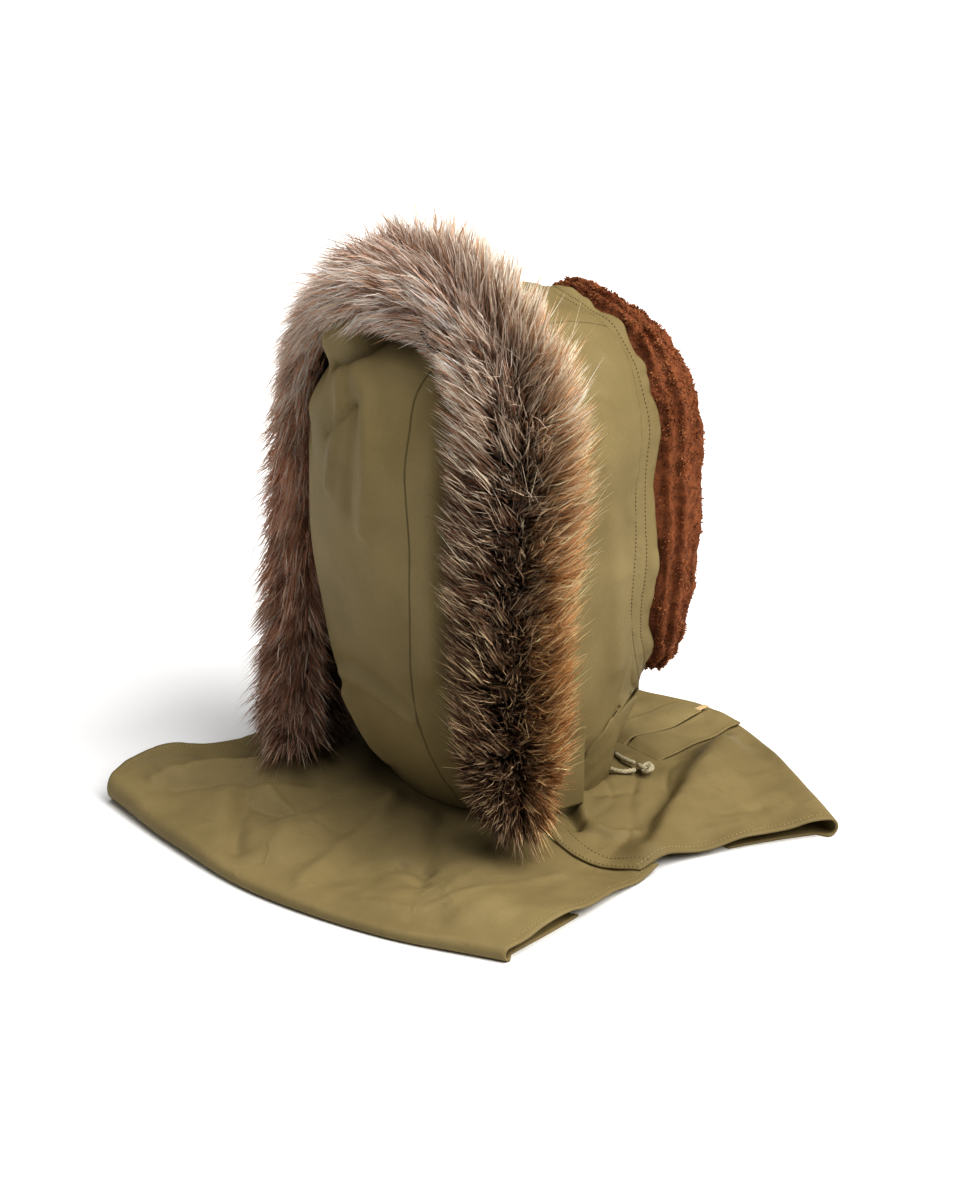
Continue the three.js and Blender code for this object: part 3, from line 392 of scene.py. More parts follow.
def add_strands(name, groups, material):
    """One mesh from several groups of strands."""
    faces = []
    count = 0
    for points, _, quads, tips in groups:
        faces += [quads + count, tips + count]
        count += len(points)
    points = np.vstack([group[0] for group in groups])
    return add_mesh(name, points, faces, material, tint=np.vstack([group[1] for group in groups]))


# Materials. Their lengths are in metres, apart from the distance from a seam, which is in millimetres.
class Nodes:
    """A short way to build one node material."""

    def __init__(self, name):
        self.material = bpy.data.materials.new(name)
        self.material.use_nodes = True
        self.tree = self.material.node_tree
        self.shader = self.tree.nodes["Principled BSDF"]
        self.place = self.node("ShaderNodeTexCoord").outputs["Object"]

    def node(self, kind, **settings):
        made = self.tree.nodes.new(kind)
        for key, value in settings.items():
            setattr(made, key, value)
        return made

    def link(self, source, target):
        self.tree.links.new(source, target)

    def noise(self, scale, detail, rough, stretch=(1, 1, 1)):
        mapping = self.node("ShaderNodeMapping")
        made = self.node("ShaderNodeTexNoise")
        give(mapping, Scale=stretch)
        give(made, Scale=scale, Detail=detail, Roughness=rough)
        self.link(self.place, mapping.inputs["Vector"])
        self.link(mapping.outputs["Vector"], made.inputs["Vector"])
        return made.outputs["Fac"]

    def ramp(self, source, stops):
        made = self.node("ShaderNodeValToRGB")
        elements = made.color_ramp.elements
        while len(elements) < len(stops):
            elements.new(0.5)
        for element, (place, colour) in zip(elements, stops):
            element.position = place
            element.color = (*colour, 1.0)
        self.link(source, made.inputs["Fac"])
        return made.outputs["Color"]

    def darken(self, share, tone, shade):
        """Multiplies a colour by another, by a share."""
        made = self.node("ShaderNodeMix", data_type="RGBA", blend_type="MULTIPLY")
        made.inputs[0].default_value = share
        self.link(tone, made.inputs[6])
        self.link(shade, made.inputs[7])
        return made.outputs[2]

    def reckon(self, kind, a, b):
        """Arithmetic on a node's output and a number or another output."""
        made = self.node("ShaderNodeMath", operation=kind)
        self.link(a, made.inputs[0])
        if isinstance(b, bpy.types.NodeSocket):
            self.link(b, made.inputs[1])
        else:
            made.inputs[1].default_value = b
        return made.outputs[0]

    def bump(self, height, distance, strength, below=None):
        made = self.node("ShaderNodeBump")
        give(made, Strength=strength, Distance=distance)
        self.link(height, made.inputs["Height"])
        if below is not None:
            self.link(below, made.inputs["Normal"])
        return made.outputs["Normal"]


def give(node, **values):
    """Sets a node's inputs. An underscore in a name stands for a space."""
    for key, value in values.items():
        node.inputs[key.replace("_", " ")].default_value = value


def srgb(red, green, blue):
    """A colour as a photograph shows it, in linear light."""
    return tuple(((c / 255 + 0.055) / 1.055) ** 2.4 for c in (red, green, blue))


OLIVE = srgb(139, 124, 87)
OLIVE_LIGHT = srgb(150, 135, 96)
OLIVE_DARK = srgb(125, 111, 76)
WHITE = (1.0, 1.0, 1.0)
BLACK = (0.0, 0.0, 0.0)


def cloth_material(name, seams=False):
    """Olive cotton. With seams, it reads each point's distance from the nearest panel seam and darkens a thin
    line along each seam, painted shade of the seam's groove.
    """
    made = Nodes(name)
    cloudy = made.noise(9.0, 4.0, 0.55)
    weave = made.noise(900.0, 2.0, 0.6, (1.0, 1.0, 0.45))
    tone = made.ramp(cloudy, [(0.3, OLIVE_DARK), (0.52, OLIVE), (0.72, OLIVE_LIGHT)])
    tone = made.darken(0.35, tone, made.ramp(weave, [(0.25, (0.7, 0.7, 0.68)), (0.75, WHITE)]))
    relief = made.bump(weave, 0.00035, 0.5)
    relief = made.bump(made.noise(55.0, 3.0, 0.5, (1.0, 1.0, 0.6)), 0.0022, 0.35, relief)
    if seams:
        distance = made.node("ShaderNodeAttribute", attribute_name="seam").outputs["Fac"]
        # Painted shade: a thin dark line along each seam, where its groove lies.
        line = made.ramp(made.reckon("ABSOLUTE", distance, 0.0), [(0.0, (0.45, 0.44, 0.4)), (0.9, WHITE)])
        tone = made.darken(1.0, tone, line)
        step = made.ramp(made.reckon("MULTIPLY_ADD", distance, 0.5), [(0.0, WHITE), (1.0, BLACK)])
        relief = made.bump(step, 0.0009, 1.0, relief)
    else:
        ridge = made.reckon("ABSOLUTE", made.reckon("SUBTRACT", made.noise(26.0, 2.0, 0.5), 0.5), 0.0)
        sharp = made.ramp(ridge, [(0.0, WHITE), (0.05, BLACK)])
        where = made.ramp(made.noise(34.0, 2.0, 0.5), [(0.52, BLACK), (0.62, WHITE)])
        relief = made.bump(made.reckon("MULTIPLY", sharp, where), 0.0011, 0.35, relief)
        relief = made.bump(made.noise(120.0, 2.0, 0.5), 0.0008, 0.25, relief)
    rough = made.node("ShaderNodeMapRange")
    give(rough, To_Min=0.5, To_Max=0.64)
    give(made.shader, Sheen_Weight=0.025, Sheen_Roughness=0.35, Sheen_Tint=(*OLIVE_LIGHT, 1.0),
         Specular_IOR_Level=0.16)
    made.link(cloudy, rough.inputs["Value"])
    made.link(rough.outputs["Result"], made.shader.inputs["Roughness"])
    made.link(tone, made.shader.inputs["Base Color"])
    made.link(relief, made.shader.inputs["Normal"])
    return made.material


def fur_material(name, roughness, glow):
    """Hair in its own tints. The glow is the share of light that passes through it."""
    made = Nodes(name)
    tint = made.node("ShaderNodeAttribute", attribute_name="tint").outputs["Color"]
    shade = made.ramp(made.noise(60.0, 3.0, 0.6), [(0.3, (0.78, 0.76, 0.74)), (0.7, WHITE)])
    tone = made.darken(0.5, tint, shade)
    give(made.shader, Roughness=roughness, Specular_IOR_Level=0.35)
    translucent = made.node("ShaderNodeBsdfTranslucent")
    both = made.node("ShaderNodeMixShader")
    give(both, Fac=glow)
    made.link(tone, made.shader.inputs["Base Color"])
    made.link(tone, translucent.inputs["Color"])
    made.link(made.shader.outputs["BSDF"], both.inputs[1])
    made.link(translucent.outputs["BSDF"], both.inputs[2])
    made.link(both.outputs["Shader"], made.tree.nodes["Material Output"].inputs["Surface"])
    return made.material


def skin_material(name, dark, light, scale, depth, roughness=0.9):
    """A matt surface with a lumpy grain, for the furs' bodies, tape and thread."""
    made = Nodes(name)
    lumps = made.noise(scale, 5.0, 0.65)
    give(made.shader, Roughness=roughness, Specular_IOR_Level=0.2)
    made.link(made.ramp(lumps, [(0.32, srgb(*dark)), (0.68, srgb(*light))]), made.shader.inputs["Base Color"])
    made.link(made.bump(lumps, depth, 0.9), made.shader.inputs["Normal"])
    return made.material


cloth = cloth_material("olive_satin")
cloth_seamed = cloth_material("olive_satin_panels", seams=True)
thread = skin_material("olive_thread", (76, 64, 38), (104, 90, 58), 900.0, 0.0002, 0.6)
pale_thread = skin_material("pale_thread", (160, 144, 104), (196, 180, 140), 900.0, 0.0002, 0.6)
fur_hair = fur_material("long_hair", 0.42, 0.22)
pile_hair = fur_material("curly_pile", 0.75, 0.35)
fur_skin = skin_material("dark_underfur", (44, 28, 20), (84, 56, 40), 160.0, 0.004)
roll_skin = skin_material("shearling_skin", (104, 61, 38), (150, 94, 60), 150.0, 0.002)
hide = skin_material("brown_hide", (60, 44, 34), (92, 70, 54), 300.0, 0.0004, 0.8)
cord_cotton = skin_material("grey_cotton_cord", (146, 138, 114), (204, 194, 166), 700.0, 0.0004, 0.85)
cord_tip = skin_material("cord_tip", (84, 80, 72), (122, 116, 102), 500.0, 0.0003, 0.5)
tape = skin_material("beige_tape", (186, 158, 118), (222, 198, 156), 600.0, 0.0003, 0.85)

# The hood's surface: sections from the neck seam to the crown.
SECTIONS = {
    "up": [0.0, 0.05, 0.11, 0.2, 0.36, 0.56, 0.74, 0.86, 0.94, 0.98, 0.996, 1.0],
    "side": [0.7, 0.76, 0.82, 0.89, 0.96, 1.0, 0.99, 0.9, 0.73, 0.5, 0.24, 0.0],
    "back": [0.53, 0.62, 0.72, 0.81, 0.91, 0.97, 0.97, 0.89, 0.73, 0.52, 0.27, 0.0],
    "front": [0.65, 0.69, 0.77, 0.86, 0.94, 0.98, 0.96, 0.87, 0.71, 0.49, 0.24, 0.0],
}
DENTS = [  # turn, up, spread of the turn, spread upwards, depth as a share of the hood's width
    (0.9, 0.88, 0.04, 0.08, 0.045),
    (0.83, 0.86, 0.03, 0.04, 0.028),
    (0.84, 0.73, 0.03, 0.03, 0.013),
    (0.82, 0.1, 0.05, 0.05, 0.022),
    (0.69, 0.14, 0.03, 0.08, 0.018),
    (0.4, 0.2, 0.05, 0.07, 0.02),
    (0.1, 0.2, 0.05, 0.07, 0.02),
]
# Folds and creases of the shell: places across, along Y and up, then the width and the height of each.
CREASES = [
    ([(42, 82, 357), (24, 78, 366)], 11, -16.8),
    ([(32, 95, 348), (16, 93, 355), (2, 85, 363), (-3, 70, 373)], 5, 6.2),
    ([(12, 112, 304), (-6, 110, 320), (-15, 104, 334)], 2.8, 3.6),
    ([(-6, 94, 352), (-27, 100, 339), (-41, 106, 316), (-44, 110, 288), (-40, 112, 250)], 8, -5.0),
    ([(14, 98, 345), (-3, 108, 326), (-2, 113, 300), (6, 116, 268)], 6, -3.9),
    ([(-20, 104, 335), (-24, 112, 300), (-20, 116, 262)], 6, 3.4),
    ([(-84, 82, 320), (-86, 82, 240), (-82, 80, 150)], 11, -6.3),
    ([(20, 102, 122), (-10, 102, 130), (-36, 98, 128), (-60, 87, 116)], 5, 2.5),
    ([(26, 98, 108), (-6, 98, 116), (-34, 95, 114), (-58, 84, 104)], 5, -3.1),
    ([(24, 93, 92), (10, 87, 74), (4, 82, 58), (-4, 76, 44)], 6, -5.6),
    ([(34, 90, 84), (22, 84, 64), (16, 78, 46)], 5, 3.4),
    ([(17, 80, 62), (8, 74, 44)], 3.5, -3.6),
    ([(-108, -44, 250), (-110, -52, 190), (-100, -58, 130)], 9, -2.5),
    ([(-96, -66, 330), (-100, -64, 280)], 8, -2.0),
    ([(108, -44, 250), (110, -52, 190), (100, -58, 130)], 9, -2.5),
    ([(70, 88, 300), (84, 84, 240), (80, 80, 170)], 10, -3.1),
]
SHELL_WAVES = [(1.1, 95, 3, (1, 1, 2.2)), (0.5, 42, 4, (1, 1, 1.8))]
levels = np.linspace(0, 1, 1201)
level_up = HOOD_BASE + HOOD_RISE * smooth_read(SECTIONS["up"], levels)


def section(t):
    side = HALF_WIDTH * smooth_read(SECTIONS["side"], t)
    back = HALF_DEPTH * smooth_read(SECTIONS["back"], t)
    front = HALF_DEPTH * smooth_read(SECTIONS["front"], t)
    return side, back, front


def level_at(height):
    return np.interp(height, level_up, levels)


def hood_point(turn, t):
    """The hood's plain outer surface. The turn is 0 at the wearer's left and 0.25 at the front."""
    side, back, front = section(t)
    up = HOOD_BASE + HOOD_RISE * smooth_read(SECTIONS["up"], t)
    share = (up - HOOD_BASE) / HOOD_RISE
    dent = 0
    for at, height, spread, spread_up, depth in DENTS:
        apart = np.abs(turn - at)
        turns = np.minimum(apart, 1 - apart) / spread
        dent = dent + HOOD_WIDTH * depth * np.exp(-(turns**2) - ((share - height) / spread_up) ** 2)
    inward = 1 - dent / HALF_WIDTH
    angle = turn * 2 * math.pi
    reach = np.where(np.sin(angle) > 0, front, back)
    x = side * inward * power(np.cos(angle), 2 / SECTION_POWER)
    forward = reach * inward * power(np.sin(angle), 2 / SECTION_POWER)
    return np.stack([x, -(HOOD_SHIFT + forward), up + 0 * x], -1)


def hood_normal(turn, t, step=0.003):
    around = hood_point(turn + step, t) - hood_point(turn - step, t)
    up = hood_point(turn, np.minimum(t + step, 1)) - hood_point(turn, np.maximum(t - step, 0))
    return unit(np.cross(around, up))


def turn_of(points, t):
    """The turn at which the hood's surface passes a point's direction."""
    side, back, front = section(t)
    ahead = -points[..., 1] - HOOD_SHIFT
    cosine = power(points[..., 0] / side, SECTION_POWER / 2)
    sine = power(ahead / np.where(ahead > 0, front, back), SECTION_POWER / 2)
    return np.arctan2(sine, cosine) / (2 * math.pi) % 1


def oval(across, ahead, parts):
    """Where a point lies in a level section of the hood: 1 on its outline, and less within."""
    side, back, front = parts
    reach = np.where(ahead > 0, front, back)
    return np.abs(across / side) ** SECTION_POWER + np.abs(ahead / reach) ** SECTION_POWER


def cloth_lift(p):
    """How far the shell's cloth stands out of the plain surface, in soft folds and creases."""
    lift = waves(p, SHELL_WAVES) - 0.9 * crumple(p, 60, 6) + folds(p, CREASES)
    return lift * mix(0.35, 1.0, smooth_step(HOOD_BASE, HOOD_BASE + 40, p[..., 2]))


def shell_surface(turn, t, lift=0.0):
    p = hood_point(turn, t)
    return p + hood_normal(turn, t) * (cloth_lift(p) + lift)[..., None]


def front_of(x, height):
    side, _, front = section(level_at(height))
    left = np.maximum(0, 1 - np.abs(x / side) ** SECTION_POWER)
    return HOOD_SHIFT + front * left ** (1 / SECTION_POWER)


def side_of(forward, t):
    side, back, front = section(t)
    reach = np.where(forward > HOOD_SHIFT, front, back)
    left = np.maximum(0, 1 - np.abs((forward - HOOD_SHIFT) / reach) ** SECTION_POWER)
    return side * left ** (1 / SECTION_POWER)


# The face opening seen from the front.
def face_reach(over, grow):
    above = OPENING_TOP + grow * BAND_BROW - OPENING_MIDDLE
    below = OPENING_MIDDLE - OPENING_BOTTOM + grow * BAND_THROAT
    return np.where(over, above, below)


def face_share(x, height):
    """How far out a point lies from the opening's middle, as a share of the way to the band's seam."""
    over = height > OPENING_MIDDLE
    bend = np.where(over, BROW_POWER, THROAT_POWER)
    wide = HALF_WIDTH - SIDE_MARGIN + BAND_SIDE
    out = (np.abs(x) / wide) ** bend + (np.abs(height - OPENING_MIDDLE) / face_reach(over, 1)) ** bend
    return out ** (1 / bend)


def face_point(turn, grow):
    angle = turn * 2 * math.pi
    over = np.sin(angle) > 0
    bend = 2 / np.where(over, BROW_POWER, THROAT_POWER)
    x = (HALF_WIDTH - SIDE_MARGIN + grow * BAND_SIDE) * power(np.cos(angle), bend)
    return x, OPENING_MIDDLE + face_reach(over, grow) * power(np.sin(angle), bend)


def front_place(x, height):
    """The point of the plain surface that lies in front at a place seen from the front."""
    return np.stack([x, -front_of(x, height), height], -1)


def front_normal(x, height, step=0.5, limit=2.5):
    slope_x = (front_of(x + step, height) - front_of(x - step, height)) / (2 * step)
    slope_z = (front_of(x, height + step) - front_of(x, height - step)) / (2 * step)
    slopes = np.clip(np.stack([slope_x, slope_z], -1), -limit, limit)
    return unit(np.stack([-slopes[..., 0], -np.ones_like(slope_x), -slopes[..., 1]], -1))


# The piped edges that end the shell's sides in front, from the neck up.
PIPED = {"forward": [0.24, 0.26, 0.3, 0.42, 0.56], "up": [-0.02, 0.05, 0.1, 0.145, 0.185]}
PIPED_TOP = HOOD_BASE + PIPED["up"][-1] * HOOD_RISE


def piped_forward(height):
    return np.interp((height - HOOD_BASE) / HOOD_RISE, PIPED["up"], PIPED["forward"]) * HALF_DEPTH


# The seams between the hood's three panels: the middle panel's half width by the angle round the hood's
# middle, from the nape (255 degrees) over the crown to the brow (60 degrees).
PANEL_HUB = 170
PANEL_ANGLES = [60, 72, 92, 112, 122, 140, 160, 205, 219, 255]
PANEL_WIDTHS = [56, 54, 53, 58, 68, 74, 73.5, 65, 63, 62]
panel_route = Route(np.stack([PANEL_ANGLES, PANEL_WIDTHS, np.zeros(len(PANEL_ANGLES))], -1))


def panel_angle(p):
    """The angle round the hub, in degrees. It runs on below 0 under the hub's front."""
    angle = np.degrees(np.arctan2(p[..., 2] - PANEL_HUB, -p[..., 1])) % 360
    return np.where(angle > 330, angle - 360, angle)


def panel_width(angle):
    return np.interp(angle, panel_route.points[:, 0], panel_route.points[:, 1])


SEAM_ANGLES = (60, 252)
SEAM_POINTS = 260
SEAM_STITCH_OFF = -1.9
SEAM_RAY = 260.0  # longer than the way from the hub to any part of the surface
SEAM_HALVINGS = 40  # of the ray, which close in on the surface


def seam_line(side, offset):
    """Points along a panel seam, moved towards the side panel by an offset, and the ways out of the cloth."""
    angle = np.linspace(*SEAM_ANGLES, SEAM_POINTS)
    x = side * (panel_width(angle) + offset)
    low = np.zeros(SEAM_POINTS)
    high = np.full(SEAM_POINTS, SEAM_RAY)
    for _ in range(SEAM_HALVINGS):
        middle = (low + high) / 2
        ahead = np.cos(np.radians(angle)) * middle - HOOD_SHIFT
        z = PANEL_HUB + np.sin(np.radians(angle)) * middle
        parts = [np.maximum(part, 1e-6) for part in section(level_at(z))]
        inside = (oval(x, ahead, parts) < 1) & (z < CROWN) & (z > HOOD_BASE)
        low = np.where(inside, middle, low)
        high = np.where(inside, high, middle)
    p = np.stack([x, -np.cos(np.radians(angle)) * low, PANEL_HUB + np.sin(np.radians(angle)) * low], -1)
    t = level_at(p[:, 2])
    turn = turn_of(p, t)
    return shell_surface(turn, t, 0.35), hood_normal(turn, t)


SHELL_ROWS, SHELL_COLUMNS = 148, 280
SHELL_TOP = 0.995  # the level of the last row, over which a fan of triangles closes the crown
SPACING_TURN = 0.62  # the rows lie at equal steps along the line that runs up the hood at this turn
LEAST_STEP = 0.05
FAR_FROM_SEAM = 60


def seam_distance(grid):
    """How far each point lies from the nearest panel seam, in millimetres, below 0 on the middle panel."""
    off = np.abs(grid[..., 0]) - panel_width(panel_angle(grid))
    up = np.linalg.norm(np.gradient(grid, axis=0), axis=-1)
    around = np.linalg.norm(step_round(grid), axis=-1)
    slope_up = np.gradient(off, axis=0) / np.maximum(up, LEAST_STEP)
    slope_around = step_round(off) / np.maximum(around, LEAST_STEP)
    slope = np.hypot(slope_up, slope_around)
    return np.clip(off / np.maximum(slope, 0.2), -FAR_FROM_SEAM, FAR_FROM_SEAM)


def make_shell():
    spread = np.linspace(0, 1, 2000)
    lengths = run_lengths(hood_point(np.full(2000, SPACING_TURN), spread))
    level = np.interp(np.linspace(0, SHELL_TOP, SHELL_ROWS), lengths / lengths[-1], spread)
    t, turn = np.meshgrid(level, np.arange(SHELL_COLUMNS) / SHELL_COLUMNS, indexing="ij")
    plain = hood_point(turn, t)
    x = plain[..., 0]
    z = plain[..., 2]
    ahead = -plain[..., 1]
    share = face_share(x, z)
    in_face = (share < 1) & (ahead > HOOD_SHIFT)
    in_throat = (ahead > piped_forward(z)) & (z < PIPED_TOP) & ~in_face
    gone = in_face | in_throat
    beside = np.roll(gone, -1, 1)
    keep = ~(gone[:-1] & gone[1:] & beside[:-1] & beside[1:])
    # Corners just inside an opening move out to its edge.
    near = plain.copy()
    face_x = (x / share)[in_face]
    face_z = OPENING_MIDDLE + ((z - OPENING_MIDDLE) / share)[in_face]
    near[in_face] = front_place(face_x, face_z)
    piped = piped_forward(z[in_throat])
    flank = np.sign(x[in_throat]) * side_of(piped, level_at(z[in_throat]))
    near[in_throat] = np.stack([flank, -piped, z[in_throat]], -1)
    grid = near + hood_normal(turn, t) * cloth_lift(near)[..., None]
    crown = shell_surface(np.array([0.5]), np.array([1.0]))
    quads = grid_faces(SHELL_ROWS, SHELL_COLUMNS, close_columns=True, keep=keep)
    top = grid.size // 3
    here = np.arange(top - SHELL_COLUMNS, top)
    fan = np.stack([here, np.roll(here, -1), np.full(SHELL_COLUMNS, top)], -1)
    seam = np.append(seam_distance(near).ravel(), -FAR_FROM_SEAM)
    points = np.vstack([grid.reshape(-1, 3), crown])
    shell = add_mesh("shell_cloth", points, [quads, fan], cloth_seamed, seam=seam)
    remove_loose(shell)
    return thicken(shell, HOOD_WALL)


THROAT_TURNS = (0.035, 0.465)
THROAT_INSET_TOP = 3.7
THROAT_RISE, THROAT_TUCK = 9, 6  # the cloth ends so far above the piped edge, and below the opening
THROAT_STEPS, THROAT_ROWS = 120, 26
THROAT_WAVES = [(0.9, 34, 21, (0.6, 1, 2.5)), (0.4, 16, 22, (0.6, 1, 2.0))]


def make_throat():
    turn = np.linspace(*THROAT_TURNS, THROAT_STEPS)[:, None]
    foot = -hood_point(turn, level_at(HOOD_BASE + THROAT_HEIGHT / 2))[..., 1]
    piped = np.interp(foot / HALF_DEPTH, PIPED["forward"], PIPED["up"]) * HOOD_RISE + HOOD_BASE
    top = np.minimum(OPENING_BOTTOM - THROAT_TUCK, piped + THROAT_RISE)
    share = np.linspace(0, 1, THROAT_ROWS)
    t = level_at(HOOD_BASE + 0.3 + (top - HOOD_BASE) * share)
    turn = np.broadcast_to(turn, t.shape)
    p = hood_point(turn, t)
    inset = mix(THROAT_INSET, THROAT_INSET_TOP, smooth_step(0.15, 0.45, share))
    grid = p - hood_normal(turn, t) * (inset - waves(p, THROAT_WAVES))[..., None]
    return thicken(add_grid("throat_cloth", grid, cloth), HOOD_WALL)


BAND_PUFF = 2.6
SMALL_PUFF = 1.1
BAND_WAVES = 58  # the waves' whole angle round the opening, before each wave's own rate
GATHER_WAVE, PUFF_WAVE, SMALL_WAVE = (1.47, 1.3, 0.31), (1.1, 0.8, 0.4), (1.7, 1.1, 0.83)
STITCH_SHARES = (0.1, 0.5)
PINCH_WIDTH = 0.08
BAND_STEPS, BAND_ROWS = 640, 13


def uneven_wave(place, rate, sway, drift):
    return np.sin(place * rate + sway * np.sin(place * drift))


def band_surface(turn, share):
    """The face band: share runs from its seam on the shell to its gathered edge."""
    x, height = face_point(turn, mix(1.04, 0.0, share))
    place = turn * BAND_WAVES
    gather = BAND_GATHER * (0.5 + 0.5 * uneven_wave(place, *GATHER_WAVE))
    puff = np.maximum(0, uneven_wave(place, *PUFF_WAVE)) * smooth_step(0.15, 0.75, share)
    small = np.abs(uneven_wave(place, *SMALL_WAVE)) * smooth_step(0.52, 0.85, share)
    pinch = sum(bell(share, at, PINCH_WIDTH) for at in STITCH_SHARES)
    puffed = gather * share**2 + 0.9 + BAND_PUFF * puff + SMALL_PUFF * small - 0.5 * pinch
    normal = front_normal(x, height)
    return front_place(x, height) + normal * puffed[..., None], normal


def make_band():
    steps = np.arange(BAND_STEPS) / BAND_STEPS
    turn, share = np.meshgrid(steps, np.linspace(0, 1, BAND_ROWS), indexing="ij")
    grid, _ = band_surface(turn, share)
    made = [thicken(add_grid("band_cloth", grid, cloth, close_rows=True, flip=True), HOOD_WALL * 0.8)]
    for name, share in zip(("band_stitch_outer", "band_stitch_inner"), STITCH_SHARES):
        p, normal = band_surface(np.linspace(0, 1, 700), np.full(700, share))
        made.append(stitches(name, p + normal * 0.25, normal, thread))
    return made


def make_piping(side):
    height = np.linspace(HOOD_BASE + 1, PIPED_TOP + 1, 60)
    forward = piped_forward(height)
    p = np.stack([side * side_of(forward, level_at(height)), -forward, height], -1)
    outward = np.array([side * 0.36, -0.16, 0])
    return tube("piping_left" if side > 0 else "piping_right", p + outward, 1.5, cloth, sides=10)


# The shearling's section: forward of the cloth's edge and outward from it, in shares.
ROLL_SECTION = [
    (-1.0, -0.15, "facing"), (-0.4, 0.0, "facing"), (0.04, 0.02, "roll"), (0.2, 0.26, "roll"),
    (0.36, 0.2, "roll"), (0.5, 0.29, "roll"), (0.68, 0.16, "roll"), (0.86, 0.1, "roll"),
    (1.0, -0.22, "roll"), (0.94, -0.55, "roll"), (0.7, -0.72, "roll"), (0.4, -0.68, "roll"),
    (0.1, -0.6, "roll"), (-0.5, -1.0, "facing"), (-1.0, -0.85, "facing"),
]


def closed_through(rows, count):
    """A closed smooth ring through points, along the first axis."""
    n = len(rows)
    place = np.arange(count) / count * n
    i = place.astype(int)
    f = (place - i).reshape(-1, *([1] * (rows.ndim - 1)))
    a, b, c, d = rows[(i - 1) % n], rows[i % n], rows[(i + 1) % n], rows[(i + 2) % n]
    return b + 0.5 * f * (c - a + f * (2 * a - 5 * b + 4 * c - d + f * (3 * (b - c) + d - a)))


GROOVES = (4.0, 6.6)  # places in the section where a groove runs along the roll
GROOVE_WIDTH = 0.4
GROOVE_DEPTH = 2.2
ROLL_STEPS, ROLL_RING = 300, 68  # points along the roll and round it
ROLL_WAVES = [(1.1, 20, 31), (0.7, 9, 32), (0.2, 4, 33)]


def roll_groove(ring):
    place = ring / ROLL_RING * len(ROLL_SECTION)
    return sum(bell(place, at, GROOVE_WIDTH) for at in GROOVES)


def make_roll():
    turn = np.arange(ROLL_STEPS) / ROLL_STEPS
    edge = front_place(*face_point(turn, 0))
    (xa, za), (xb, zb) = face_point(turn - 0.004, 0), face_point(turn + 0.004, 0)
    out = unit(np.stack([zb - za, 0 * turn, xa - xb], -1))
    up = np.sin(turn * 2 * math.pi)
    reach = ROLL_WIDTH * mix(1, np.where(up > 0, ROLL_TOP_SHARE, ROLL_THROAT_SHARE), up * up)
    rows = []
    for forward, outward, part in ROLL_SECTION:
        if part == "facing":
            ahead = forward * FACING_DEPTH
            across = outward * FACING_THICK - HOOD_WALL - FACING_GAP
        else:
            ahead = forward * reach + ROLL_GAP
            across = outward * ROLL_THICK - ROLL_GAP / 2
        row = edge + out * across
        row[:, 1] -= ahead
        rows.append(row)
    grid = closed_through(np.array(rows), ROLL_RING).transpose(1, 0, 2)
    around = turn[:, None] * 2 * math.pi
    groove = roll_groove(np.arange(ROLL_RING)) * (0.6 + 0.4 * np.sin(around * 6 + 2 * np.sin(around * 3)))
    normal = grid_normals(np.concatenate([grid, grid[:1]]))[:-1]
    grid = grid + normal * (waves(grid, ROLL_WAVES) - 0.8 - GROOVE_DEPTH * groove)[..., None]
    body = add_grid("roll_body", grid, roll_skin, close_rows=True, close_columns=True)
    return body, grid, normal


PILE_CURLS = 27000
PILE_TONES = [srgb(88, 50, 32), srgb(152, 95, 61), srgb(204, 146, 102)]


def make_pile(grid, normal):
    """Short curls of pile all over the roll."""
    draw = np.random.default_rng(71)
    count = int(PILE_CURLS * STRAND_SHARE)
    i = draw.integers(0, ROLL_STEPS, count)
    j = draw.integers(0, ROLL_RING, count)
    ni = (i + 1) % ROLL_STEPS
    nj = (j + 1) % ROLL_RING
    a = draw.random((count, 1))
    b = draw.random((count, 1))
    root = mix(mix(grid[i, j], grid[ni, j], a), mix(grid[i, nj], grid[ni, nj], a), b)
    up = normal[i, j]
    lean = unit(np.stack([ripple(root, 16, seed) for seed in (72, 73, 74)], -1))
    stray = unit(draw.normal(size=(count, 3)))
    length = draw.uniform(1.3, 2.3, (count, 1))
    root = root - up * 0.5
    first = root + (up * 0.9 + stray * 0.25) * length * 0.4
    second = root + (up * 1.2 + lean * 0.5 + stray * 0.3) * length * 0.55
    tip = root + (up * 0.95 + lean * 1.1 + stray * 0.45) * length * 0.7
    bright = draw.uniform(0.82, 1.18, count) * (1 + 0.14 * ripple(root, 14, 75))
    # Painted shade: curls in the roll's grooves are darkened.
    bright = (bright * (1 - 0.35 * roll_groove(j + b[:, 0])))[:, None]
    dark, middle, light = np.array(PILE_TONES)
    tint = [dark + 0 * bright, middle * bright, mix(middle, light, 0.5) * bright, light * bright]
    side = unit(np.cross(up, stray))
    curls = strands([root, first, second, tip], draw.uniform(0.7, 1.3, count), side, tint)
    return add_strands("roll_pile", [curls], pile_hair)


# The ruff's line over the hood: its places across, forward and up, and the length of its pile, all as shares.
RUFF_LINE = [
    (-0.97, -0.27, 0.035, 0.9), (-0.985, -0.3, 0.15, 1), (-1.0, -0.32, 0.35, 1), (-1.0, -0.31, 0.6, 1),
    (-0.985, -0.28, 0.77, 1), (-0.86, -0.27, 0.89, 1), (-0.56, -0.3, 0.97, 1), (-0.19, -0.35, 1.01, 1),
    (0.19, -0.385, 1.005, 0.92), (0.5, -0.41, 0.97, 0.78), (0.77, -0.43, 0.89, 0.6),
    (0.92, -0.45, 0.77, 0.68), (0.96, -0.47, 0.58, 0.9), (0.94, -0.5, 0.34, 0.95), (0.84, -0.6, 0.15, 0.95),
    (0.66, -0.73, 0.014, 0.9),
]
RUFF_HUB = (-0.08, 0.62)  # forward and up, as shares: the ruff's fur stands away from here
ruff_rows = np.array(RUFF_LINE)
